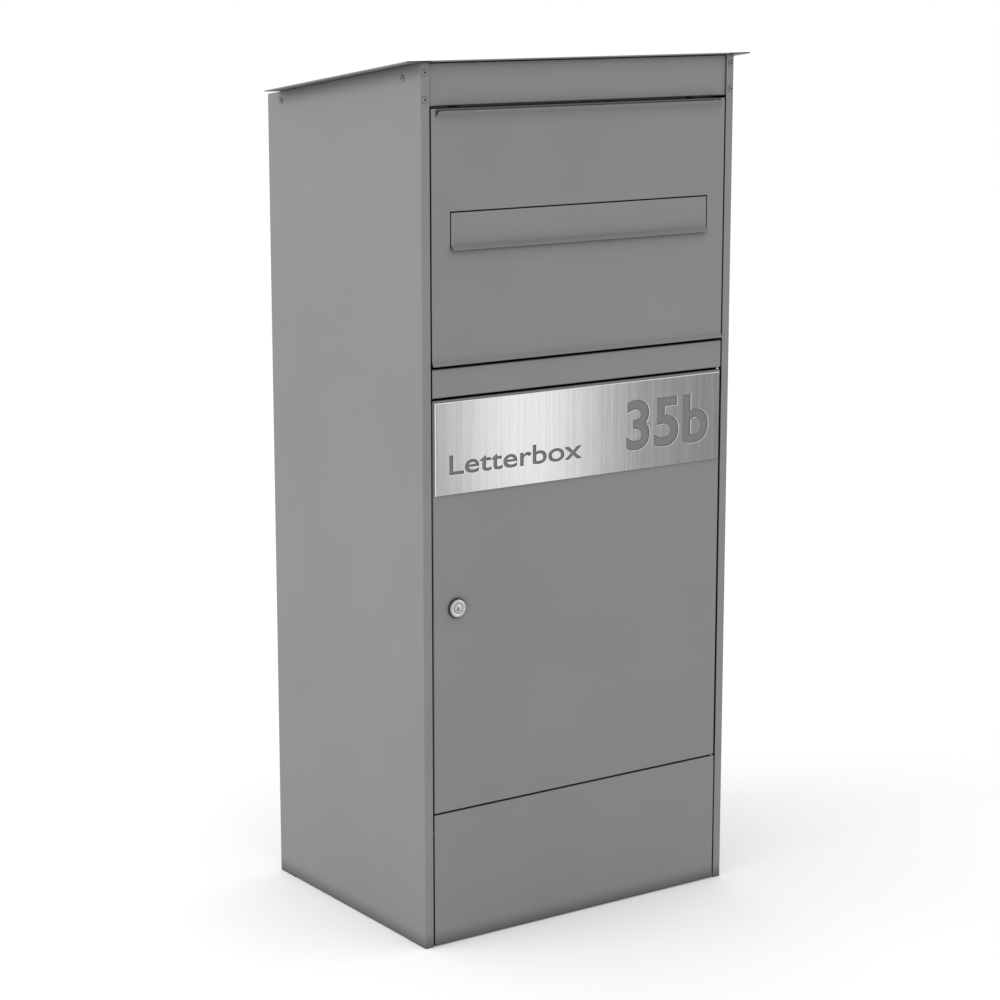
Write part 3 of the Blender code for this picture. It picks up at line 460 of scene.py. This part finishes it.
dome = [
    (RIVET_HEAD * math.cos(math.radians(a)), RIVET_RIM + RIVET_DOME * math.sin(math.radians(a)))
    for a in (68, 60, 52, 42, 32, 22, 12, 3)
]
rivet_profile = [
    (0.0, PIT_FLOOR), (MANDREL * 0.7, PIT_FLOOR), (MANDREL, PIT_FLOOR + 0.2 * MM),
    (MANDREL, dome[0][1] - 0.1 * MM), *dome, (RIVET_HEAD - 0.3 * MM, 0.0), (RIVET_SHANK, 0.0),
    (RIVET_SHANK, -TAIL_START), (RIVET_TAIL, -TAIL_FULL), (RIVET_TAIL, -RIVET_LENGTH),
    (0.0, -RIVET_LENGTH),
]
# Painted shade: the mandrel pit is a real hollow, and its faces also get a near-black material.
painted_shade_mandrel_pit = painted_shade_steel("painted_shade_mandrel_pit", 0.02)
for side, s in (("left", -1.0), ("right", 1.0)):
    for node, outward in (
        (f"flange_rivet_{side}_upper", (0, -1, 0)), (f"flange_rivet_{side}_lower", (0, -1, 0)),
        (f"roof_rivet_{side}_front", (s, 0, 0)), (f"roof_rivet_{side}_rear", (s, 0, 0)),
    ):
        low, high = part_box(node)
        axis = Vector(outward)
        tip = [high[i] if axis[i] > 0 else low[i] for i in range(3)]
        middle = (low + high) / 2
        head_at = Vector([tip[i] if axis[i] else middle[i] for i in range(3)])
        bm = spun(rivet_profile, 48)
        turn = Matrix.Translation(head_at - axis * dome[0][1])
        pit = [f for f in bm.faces if is_pit(f.calc_center_median())]
        bmesh.ops.transform(bm, matrix=turn @ facing(outward), verts=bm.verts)
        for face in pit:
            face.material_index = 1
        rivet = new_piece(f"domed_{node}", bm, housing_coat, "housing", node)
        rivet.data.materials.append(painted_shade_mandrel_pit)
        hard_edges(rivet)


# --- Mid rail and plinth ----------------------------------------------------------------------
# Two folded members between the side flanges: the rail that parts the parcel flap from the
# door, and the plinth. Their ears turn down behind the flanges, where they are welded.

EAR_NEAR = FRONT + 4 * MM
EAR_FAR = FRONT + 19 * MM
END_GAP = 2.2 * MM
RAIL_RETURN = 20 * MM
RAIL_EAR_FOOT = 701.1 * MM
PLINTH_RETURN = 12 * MM
PLINTH_EAR_FOOT = 122.4 * MM


def front_member(name, node, return_at_foot, ear_bottom):
    low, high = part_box(node)
    half = SIDE - SIDE_FRONT_FLANGE - END_GAP
    path = [
        (high.y, high.z), (low.y, high.z), (low.y, low.z), (low.y + return_at_foot, low.z),
    ]
    bm = ribbon(path, "X", -half, half)
    score(bm, "Y", EAR_NEAR, EAR_FAR)
    for s in (-1.0, 1.0):
        ear = edges_in(bm, (s * half, EAR_NEAR, high.z), (s * half, EAR_FAR, high.z))
        ear = carry(bm, ear, Vector((s * (inside_half - half), 0, 0)))
        carry(bm, ear, Vector((0, 0, ear_bottom - high.z)))
    fold(bm)
    sheet_piece(name, bm, "housing", node, (0, -2, (low.z + high.z) / 2))


front_member("folded_mid_rail", "mid_rail", RAIL_RETURN, RAIL_EAR_FOOT)
front_member("folded_plinth", "plinth_panel", PLINTH_RETURN, PLINTH_EAR_FOOT)


# --- Parcel flap ------------------------------------------------------------------------------
# The flap's front sheet leans out of the front in two places: a grip lip with rounded corners
# along the top, between two short uprights, and a drip edge along the bottom. The letter slot
# is cut through it, and a folded stiffener is welded behind the top.

LIP_HALF = 216 * MM
LIP_RELIEF = 0.35 * MM
RELIEF_DEPTH = 1.5 * MM
LIP_CREASE = 1033.4 * MM
LIP_REACH = 8.6 * MM * math.sqrt(0.5)
LIP_CORNER = 5 * MM
FLAP_TOP = 1043 * MM
DRIP_CREASE = 742 * MM
DRIP_REACH = 3.2 * MM
DRIP_TIP = 736.4 * MM
FLAP_BEND = 1.4 * MM
SLOT_HALF = 196.9 * MM
SLOT_BOTTOM = 878.5 * MM
SLOT_TOP = 921.1 * MM

flap_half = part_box("parcel_flap_panel")[1].x
drip_edge = (FRONT - DRIP_REACH, DRIP_TIP)
bm = ribbon([(FRONT, LIP_CREASE), (FRONT, DRIP_CREASE), drip_edge], "X", -flap_half, flap_half)
score(bm, "X", -LIP_HALF - LIP_RELIEF, -LIP_HALF, -SLOT_HALF, SLOT_HALF, LIP_HALF,
      LIP_HALF + LIP_RELIEF)
score(bm, "Z", SLOT_BOTTOM, SLOT_TOP, LIP_CREASE - RELIEF_DEPTH)
punch(bm, (-SLOT_HALF, -1, SLOT_BOTTOM), (SLOT_HALF, 1, SLOT_TOP))
for start in (-LIP_HALF - LIP_RELIEF, LIP_HALF):
    punch(bm, (start, -1, LIP_CREASE - RELIEF_DEPTH), (start + LIP_RELIEF, 1, LIP_CREASE))
lip = edges_in(bm, (-LIP_HALF, -1, LIP_CREASE), (LIP_HALF, 1, LIP_CREASE))
carry(bm, lip, Vector((0, -LIP_REACH, LIP_REACH)))
for ends in ((-flap_half, -LIP_HALF - LIP_RELIEF), (LIP_HALF + LIP_RELIEF, flap_half)):
    upright = edges_in(bm, (ends[0], -1, LIP_CREASE), (ends[1], 1, LIP_CREASE))
    carry(bm, upright, Vector((0, 0, FLAP_TOP - LIP_CREASE)))
corners = [
    v for v in bm.verts
    if v.co.y < FRONT - LIP_REACH / 2 and v.co.z > LIP_CREASE and abs(v.co.x) > LIP_HALF - CLOSE
]
bmesh.ops.bevel(
    bm, geom=corners, offset=LIP_CORNER, offset_type="OFFSET", segments=6, profile=0.5,
    affect="VERTICES", material=-1,
)
fold(bm, FLAP_BEND)
sheet_piece("folded_parcel_flap", bm, "parcel_flap", "parcel_flap_panel", (0, -2, 0.82))

stiff_low, stiff_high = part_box("flap_stiffener")
stiff_path = [
    (stiff_high.y, stiff_high.z), (stiff_low.y, stiff_high.z), (stiff_low.y, stiff_low.z),
]
bm = ribbon(stiff_path, "X", stiff_low.x, stiff_high.x)
fold(bm)
sheet_piece("folded_stiffener", bm, "parcel_flap", "flap_stiffener", (0, -2, 1.02))


# --- Letter flap ------------------------------------------------------------------------------
# A light folded strip that hangs on a rod inside the slot. Its lower edge is turned out for a
# finger, and two small ears welded behind it hold it to the rod.

LETTER_CREASE = 881 * MM
LETTER_LIP = 5.5 * MM
LETTER_EAR_X = 184 * MM
EAR_CORNER = 2.5 * MM
# An ear's outline: how far behind the front, and the height, in millimetres
letter_ear = ((1.0, 902.0), (8.6, 908.0), (8.6, 915.6), (1.0, 916.6))

letter_low, letter_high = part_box("letter_flap_panel")
letter_lip = (FRONT - LETTER_LIP, LETTER_CREASE - LETTER_LIP)
bm = ribbon(
    [(FRONT, letter_high.z), (FRONT, LETTER_CREASE), letter_lip], "X", letter_low.x, letter_high.x
)
fold(bm, FLAP_BEND)
sheet_piece("folded_letter_flap", bm, "letter_flap", "letter_flap_panel", (0, -2, 0.9))
for s in (-1.0, 1.0):
    bm = bmesh.new()
    face = bm.faces.new([
        bm.verts.new((s * LETTER_EAR_X, FRONT + y * MM, z * MM)) for y, z in letter_ear
    ])
    bmesh.ops.bevel(
        bm, geom=[v for v in bm.verts if v.co.y > FRONT + 2 * EAR_CORNER], offset=EAR_CORNER,
        offset_type="OFFSET", segments=5, profile=0.5, affect="VERTICES", material=-1,
    )
    side = "left" if s < 0 else "right"
    sheet_piece(f"rod_ear_{side}", bm, "letter_flap", "letter_flap_panel", (0, 0, 0.91))


# --- Door -------------------------------------------------------------------------------------
# A pan: the front sheet with all four rims folded back and their corners welded and dressed. It
# hangs at the right on two upright pins, one in the rail and one in the plinth.

DOOR_BEND = 1.8 * MM

door_low, door_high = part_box("door_panel")
bm = bmesh.new()
bmesh.ops.create_cube(bm, size=1.0)
bmesh.ops.scale(bm, vec=door_high - door_low, verts=bm.verts)
bmesh.ops.translate(bm, vec=(door_low + door_high) / 2, verts=bm.verts)
open_back = [f for f in bm.faces if f.calc_center_median().y > door_high.y - CLOSE]
bmesh.ops.delete(bm, geom=open_back, context="FACES_ONLY")
fold(bm, DOOR_BEND)
sheet_piece("folded_door_pan", bm, "door", "door_panel", (0, -2, 0.43))


# --- Name plate -------------------------------------------------------------------------------
# A stainless plate with chamfered edges, brushed upright and bonded to the door. A word and a
# house number are milled into it and filled with a dull grey lacquer. Its chamfers, sides and
# milled walls are the same steel in a far lighter tone than its face, as a painted highlight.

PLATE_CHAMFER = 0.8 * MM
ENGRAVED = 1.35 * MM
RIM_CHAMFER = 0.4 * MM
LACQUERED = 1
PAINTED_HIGHLIGHT_EDGE = 2
# Each inscription: its left, bottom and right, its height, and how far its strokes are widened
INSCRIPTIONS = {
    "Letterbox": (-0.200, 0.6010, 0.000, 0.0245, 0.010),
    "35b": (0.070, 0.6020, 0.203, 0.0650, 0.024),
}

plate_low, plate_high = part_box("name_plate")


def brushed_plate(name, light, dark, matt):
    """Stainless steel brushed along Z: long fine scratches that differ in gloss and in tone."""
    material, shader, node, join = nodes_for(name)
    stretch = node("ShaderNodeMapping")
    stretch.inputs["Scale"].default_value = (1.0, 1.0, 0.006)
    on_piece(node, join, stretch)
    fine = node("ShaderNodeTexNoise", Scale=3600.0, Detail=3.0, Roughness=0.7)
    broad = node("ShaderNodeTexNoise", Scale=420.0, Detail=2.0, Roughness=0.5)
    for texture in (fine, broad):
        join(stretch.outputs["Vector"], texture.inputs["Vector"])
    scratches = mixed(node, join, fine, broad.outputs["Fac"], 0.35)
    colour = tones(node, join, scratches, dark, light, 0.3, 0.7)
    join(colour, shader.inputs["Base Color"])
    uneven_gloss(node, join, shader, scratches, matt - 0.07, matt + 0.07)
    relief(node, join, shader, scratches, 0.25, 0.02 * MM)
    shader.inputs["Metallic"].default_value = 1.0
    return material


def grey_lacquer():
    """The filling of the letters: flat grey lacquer, slightly uneven from the brush."""
    material, shader, node, join = nodes_for("grey_lacquer")
    uneven = node("ShaderNodeTexNoise", Scale=600.0, Detail=3.0)
    on_piece(node, join, uneven)
    colour = tones(node, join, uneven.outputs["Fac"], [0.13] * 3, [0.18] * 3)
    # Painted shade: the lacquer is darkened near the walls of the milled letters.
    painted_shade_in_corners(node, join, shader, colour, reach=4 * MM, shade_power=1.2)
    relief(node, join, shader, uneven.outputs["Fac"], 0.3, 0.05 * MM)
    shader.inputs["Roughness"].default_value = 0.6
    return material


def milled_text(words, left, bottom, right, height, weight):
    """A solid of the letters, which stands in the plate to the depth of the milling."""
    curve = bpy.data.curves.new("milled_text", "FONT")
    curve.body = words
    curve.extrude = ENGRAVED
    curve.offset = weight
    curve.resolution_u = 6
    letters = bpy.data.objects.new("milled_text", curve)
    bpy.context.scene.collection.objects.link(letters)
    bpy.context.view_layer.update()
    mesh = bpy.data.meshes.new_from_object(letters)
    bpy.data.objects.remove(letters)
    bm = bmesh.new()
    bm.from_mesh(mesh)
    bmesh.ops.remove_doubles(bm, verts=bm.verts, dist=CLOSE)
    low = Vector([min(v.co[i] for v in bm.verts) for i in range(3)])
    high = Vector([max(v.co[i] for v in bm.verts) for i in range(3)])
    size = high - low
    bmesh.ops.translate(bm, vec=(-low.x, -low.y, 0), verts=bm.verts)
    bmesh.ops.scale(
        bm, vec=((right - left) / size.x, height / size.y, 1.0), verts=bm.verts
    )
    upright = Matrix.Rotation(math.pi / 2, 4, "X")
    on_plate = Matrix.Translation((left, plate_low.y, bottom))
    bmesh.ops.transform(bm, matrix=on_plate @ upright, verts=bm.verts)
    return bm


def cut_out(piece, bm):
    """Takes the solid of another mesh out of a piece."""
    cutter = set_down("cutter", bm)
    cut = piece.modifiers.new("cut", "BOOLEAN")
    cut.operation = "DIFFERENCE"
    cut.solver = "EXACT"
    cut.use_self = True
    cut.object = cutter
    settle(piece)
    bpy.data.objects.remove(cutter)


bm = bmesh.new()
bmesh.ops.create_cube(bm, size=1.0)
bmesh.ops.scale(bm, vec=plate_high - plate_low, verts=bm.verts)
bmesh.ops.translate(bm, vec=(plate_low + plate_high) / 2, verts=bm.verts)
front_edges = [
    e for e in bm.edges if max(v.co.y for v in e.verts) < plate_low.y + CLOSE
    and max(v.co.z for v in e.verts) > plate_low.z + CLOSE
]
bmesh.ops.bevel(
    bm, geom=front_edges, offset=PLATE_CHAMFER, offset_type="OFFSET", segments=1, profile=0.5,
    affect="EDGES", material=-1,
)
name_plate = set_down("engraved_plate", bm)
for words, layout in INSCRIPTIONS.items():
    cut_out(name_plate, milled_text(words, *layout))
bm = bmesh.new()
bm.from_mesh(name_plate.data)
bmesh.ops.remove_doubles(bm, verts=bm.verts, dist=CLOSE / 5)
bmesh.ops.dissolve_limit(
    bm, angle_limit=math.radians(1), verts=bm.verts, edges=bm.edges, delimit={"NORMAL"}
)
rims = [
    e for e in bm.edges if len(e.link_faces) == 2
    and max(v.co.y for v in e.verts) < plate_low.y + CLOSE / 10
    and abs(abs(e.link_faces[0].normal.y) - abs(e.link_faces[1].normal.y)) > 0.9
]
bmesh.ops.bevel(
    bm, geom=rims, offset=RIM_CHAMFER, offset_type="OFFSET", segments=1, profile=0.5,
    affect="EDGES", material=-1,
)
bm.to_mesh(name_plate.data)
bm.free()
name_plate.data.materials.clear()
name_plate.data.materials.append(
    brushed_plate("brushed_plate", (0.27, 0.27, 0.267), (0.15, 0.15, 0.149), 0.18)
)
name_plate.data.materials.append(grey_lacquer())
# Painted highlight: the same brushed steel in a far lighter tone, for the chamfers and milled
# walls.
name_plate.data.materials.append(
    brushed_plate("painted_highlight_edge", (0.86, 0.86, 0.85), (0.74, 0.74, 0.73), 0.2)
)
for face in name_plate.data.polygons:
    face.use_smooth = False
    if face.center.y > plate_low.y + ENGRAVED * 0.9 and face.normal.y < -0.5:
        face.material_index = LACQUERED
    elif abs(face.normal.y) < 0.9 and face.center.y < plate_low.y + ENGRAVED:
        # Painted highlight on the chamfers, sides and milled walls.
        face.material_index = PAINTED_HIGHLIGHT_EDGE
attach(name_plate, "door")
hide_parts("name_plate")


# --- Cam lock ---------------------------------------------------------------------------------
# A die-cast barrel with a rounded head, plated in satin nickel, on a rubber washer. The plug
# turns inside it, with the keyway in its face; the nut, cam and screw are behind the door.

KEY_WIDTH = 1.0 * MM
KEY_HEIGHT = 6.6 * MM
KEY_DEPTH = 9 * MM
KEY_TILT = math.radians(14)
KEY_OFFSET = 0.35 * MM
WARD_HEIGHT = 0.62
BARREL = 9.0 * MM
WASHER_BORE = 9.3 * MM
WASHER_SHOWS = 1.2 * MM
SEAT_GAP = 0.3 * MM
PLUG_RECESS = 0.35 * MM
PLUG_PLAY = 0.15 * MM
PLUG_EDGE = 0.15 * MM
TAIL_LENGTH = 2.5 * MM
TAIL_SIZE = (7 * MM, 7 * MM, 4 * MM)
HEAD_FOOT = 0.2 * MM
WASHER_ROUND = 0.4 * MM
WASHER_EDGE = 0.12 * MM
# The head's rounded rim: how far in from the rim, and how far back from the face
HEAD_ROUND = (
    (1.7 * MM, 0.0), (0.9 * MM, 0.12 * MM), (0.35 * MM, 0.45 * MM), (0.08 * MM, 0.95 * MM),
    (0.0, 1.5 * MM),
)

lock_low, lock_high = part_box("lock_body")
lock_x = (lock_low.x + lock_high.x) / 2
lock_z = (lock_low.z + lock_high.z) / 2
head_radius = (lock_high.x - lock_low.x) / 2
plug_low, plug_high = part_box("lock_plug")
plug_radius = (plug_high.x - plug_low.x) / 2
washer_low, washer_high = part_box("lock_washer")


def satin_nickel():
    """Satin nickel plate on a die casting: very fine turning marks round the axis, and a soft
    cloudiness where it has been handled."""
    material, shader, node, join = nodes_for("satin_nickel")
    centre = node("ShaderNodeMapping")
    centre.inputs["Location"].default_value = (-lock_x, 0.0, -lock_z)
    on_piece(node, join, centre)
    marks = node("ShaderNodeTexWave", wave_type="RINGS", rings_direction="Y", Scale=900.0,
                 Distortion=1.5, Detail=2.0)
    cloud = node("ShaderNodeTexNoise", Scale=260.0, Detail=3.0)
    for texture in (marks, cloud):
        join(centre.outputs["Vector"], texture.inputs["Vector"])
    dull, clear = (0.36, 0.356, 0.352), (0.44, 0.436, 0.432)
    colour = tones(node, join, cloud.outputs["Fac"], dull, clear)
    join(colour, shader.inputs["Base Color"])
    uneven_gloss(node, join, shader, cloud.outputs["Fac"], 0.22, 0.34)
    relief(node, join, shader, marks.outputs["Fac"], 0.12, 0.02 * MM)
    shader.inputs["Metallic"].default_value = 1.0
    return material


def moulded_black(name, tone, roughness, grain):
    """Black rubber or nylon: a matt mould texture with a faint bloom."""
    material, shader, node, join = nodes_for(name)
    mould = node("ShaderNodeTexNoise", Scale=grain, Detail=3.0)
    on_piece(node, join, mould)
    colour = tones(node, join, mould.outputs["Fac"], [tone] * 3, [tone * 1.7] * 3)
    join(colour, shader.inputs["Base Color"])
    uneven_gloss(node, join, shader, mould.outputs["Fac"], roughness - 0.1, roughness + 0.08)
    relief(node, join, shader, mould.outputs["Fac"], 0.3, 0.05 * MM)
    return material


nickel = satin_nickel()
black_rubber = moulded_black("black_rubber_moulded", 0.02, 0.82, 1400.0)
black_nylon = moulded_black("black_nylon_moulded", 0.016, 0.5, 2000.0)

# Heights along +Z here are distances out of the door's face
face_height = FRONT - lock_low.y
seat_height = FRONT - washer_low.y + SEAT_GAP
bore = plug_radius + PLUG_PLAY
head_profile = [
    (bore, face_height - 0.7 * MM), (bore + 0.5 * MM, face_height - 0.15 * MM),
    (bore + 0.9 * MM, face_height),
    *((head_radius - inward, face_height - back) for inward, back in HEAD_ROUND),
    (head_radius, seat_height + HEAD_FOOT), (head_radius - HEAD_FOOT, seat_height),
    (BARREL, seat_height), (BARREL, FRONT - lock_high.y), (bore, FRONT - lock_high.y),
]
out_of_door = Matrix.Translation((lock_x, FRONT, lock_z)) @ facing((0, -1, 0))
bm = spun(head_profile, 96)
bmesh.ops.transform(bm, matrix=out_of_door, verts=bm.verts)
hard_edges(new_piece("lock_head", bm, nickel, "door", "lock_body"))

washer_top = FRONT - washer_low.y
washer_foot = FRONT - washer_high.y
washer_radius = head_radius + WASHER_SHOWS
washer_profile = [
    (WASHER_BORE, washer_top), (washer_radius - WASHER_ROUND, washer_top),
    (washer_radius - WASHER_EDGE, washer_top - WASHER_EDGE),
    (washer_radius, washer_top - WASHER_ROUND),
    (washer_radius, washer_foot), (WASHER_BORE, washer_foot),
]
bm = spun(washer_profile, 96)
bmesh.ops.transform(bm, matrix=out_of_door, verts=bm.verts)
hard_edges(new_piece("rubber_washer", bm, black_rubber, "door", "lock_washer"))

plug_face = face_height - PLUG_RECESS
plug_back = FRONT - (plug_high.y - TAIL_LENGTH)
plug_profile = [
    (0.0, plug_face), (plug_radius - 0.5 * MM, plug_face),
    (plug_radius - PLUG_EDGE, plug_face - PLUG_EDGE), (plug_radius, plug_face - 0.5 * MM),
    (plug_radius, plug_back), (0.0, plug_back),
]
bm = spun(plug_profile, 72)
tail = bmesh.ops.create_cube(bm, size=1.0)["verts"]
bmesh.ops.scale(bm, vec=TAIL_SIZE, verts=tail)
bmesh.ops.translate(bm, vec=(0, 0, FRONT - plug_high.y + TAIL_SIZE[2] / 2), verts=tail)
bmesh.ops.transform(bm, matrix=out_of_door, verts=bm.verts)
plug = new_piece("lock_cylinder", bm, nickel, "lock", "lock_plug")
bm = bmesh.new()
for shift, height in ((-KEY_OFFSET, 1.0), (KEY_OFFSET, WARD_HEIGHT)):
    bar = bmesh.ops.create_cube(bm, size=1.0)["verts"]
    bmesh.ops.scale(bm, vec=(KEY_WIDTH, 2 * KEY_DEPTH, KEY_HEIGHT * height), verts=bar)
    drop = KEY_HEIGHT * (1.0 - height) / 2
    bmesh.ops.translate(bm, vec=(shift, 0, -drop), verts=bar)
tilt = Matrix.Rotation(KEY_TILT, 4, "Y")
key_at = Matrix.Translation((lock_x, FRONT - face_height, lock_z))
bmesh.ops.transform(bm, matrix=key_at @ tilt, verts=bm.verts)
cut_out(plug, bm)
hard_edges(plug)


# --- Inner metalwork --------------------------------------------------------------------------
# The hopper, guard, base plate, brackets, strike and fittings are plain bent parts in zinc
# plated sheet. The back panel and compartment floor are coated with the housing.

def zinc_plate():
    """Bright zinc with a clear passivate: a faint spangle, a cloudy sheen and rolling marks."""
    material, shader, node, join = nodes_for("zinc_plate")
    spangle = node("ShaderNodeTexVoronoi", Scale=140.0)
    cloud = node("ShaderNodeTexNoise", Scale=18.0, Detail=4.0, Roughness=0.6)
    rolling = node("ShaderNodeTexNoise", Scale=1200.0, Detail=2.0)
    on_piece(node, join, spangle, cloud, rolling)
    tone = mixed(node, join, cloud, spangle.outputs["Distance"], 0.3)
    colour = tones(node, join, tone, (0.42, 0.43, 0.43), (0.58, 0.59, 0.57), 0.2, 0.75)
    # Painted shade: the zinc's colour is darkened in folds, seams and corners.
    painted_shade_in_corners(node, join, shader, colour)
    uneven_gloss(node, join, shader, cloud.outputs["Fac"], 0.36, 0.52)
    relief(node, join, shader, rolling.outputs["Fac"], 0.2, 0.03 * MM)
    shader.inputs["Metallic"].default_value = 0.85
    return material


zinc = zinc_plate()
finish_of_slot = {
    "grey_powder_coat": housing_coat, "zinc_plated_steel": zinc, "nickel_plate": nickel,
    "black_nylon": black_nylon, "black_rubber": black_rubber,
}
slot_of_node = {part["node"]: part["material_slot"] for part in frame["record"]["subparts"]}
for name, node_object in frame["nodes"].items():
    finish = finish_of_slot.get(slot_of_node.get(name))
    if finish:
        for material_slot in node_object.material_slots:
            material_slot.material = finish


# --- Studio -----------------------------------------------------------------------------------
# A pale floor that runs well past the view, an even white surround, and large soft lights: one
# at the left for the side panel and one low at the front right that the name plate mirrors.

FLOOR_HALF = 150.0
FLOOR_GAP = 0.3 * MM
LEFT_LIGHT_AT = (-3.2, 0.6, 1.6)
LEFT_LIGHT_SIZE = 2.4
LEFT_LIGHT_POWER = 34.0
PLATE_LIGHT_AT = (1.27, -2.1, 0.30)
PLATE_LIGHT_WIDTH = 0.25
PLATE_LIGHT_HEIGHT = 1.0
PLATE_LIGHT_POWER = 3.5


def studio_floor():
    """Pale seamless paper, faintly uneven, with a little light of its own."""
    material, shader, node, join = nodes_for("studio_floor")
    paper = node("ShaderNodeTexNoise", Scale=2.0, Detail=2.0)
    on_piece(node, join, paper)
    colour = tones(node, join, paper.outputs["Fac"], [0.93] * 3, [0.95] * 3)
    join(colour, shader.inputs["Base Color"])
    join(colour, shader.inputs["Emission Color"])
    shader.inputs["Emission Strength"].default_value = 0.08
    shader.inputs["Roughness"].default_value = 0.9
    shader.inputs["Specular IOR Level"].default_value = 0.0
    return material


bm = bmesh.new()
bmesh.ops.create_grid(bm, x_segments=1, y_segments=1, size=FLOOR_HALF)
bmesh.ops.translate(bm, vec=(0, 0, GROUND - FLOOR_GAP), verts=bm.verts)
floor = set_down("floor", bm)
floor.data.materials.append(studio_floor())

world = bpy.data.worlds.new("white_surround")
bpy.context.scene.world = world
world.use_nodes = True
world.node_tree.nodes["Background"].inputs["Color"].default_value = (1.0, 1.0, 1.0, 1.0)
world.node_tree.nodes["Background"].inputs["Strength"].default_value = 1.0
bpy.context.scene.view_settings.view_transform = "Standard"


def soft_light(name, at, target, width, height, power):
    data = bpy.data.lights.new(name, "AREA")
    data.shape = "RECTANGLE"
    data.size = width
    data.size_y = height
    data.energy = power
    light = bpy.data.objects.new(name, data)
    light.location = at
    light.rotation_euler = (Vector(target) - Vector(at)).to_track_quat("-Z", "Y").to_euler()
    bpy.context.scene.collection.objects.link(light)


soft_light("left_light", LEFT_LIGHT_AT, (0, 0, 0.6), LEFT_LIGHT_SIZE, LEFT_LIGHT_SIZE,
           LEFT_LIGHT_POWER)
soft_light("plate_light", PLATE_LIGHT_AT, (0, FRONT, 0.63), PLATE_LIGHT_WIDTH, PLATE_LIGHT_HEIGHT,
           PLATE_LIGHT_POWER)
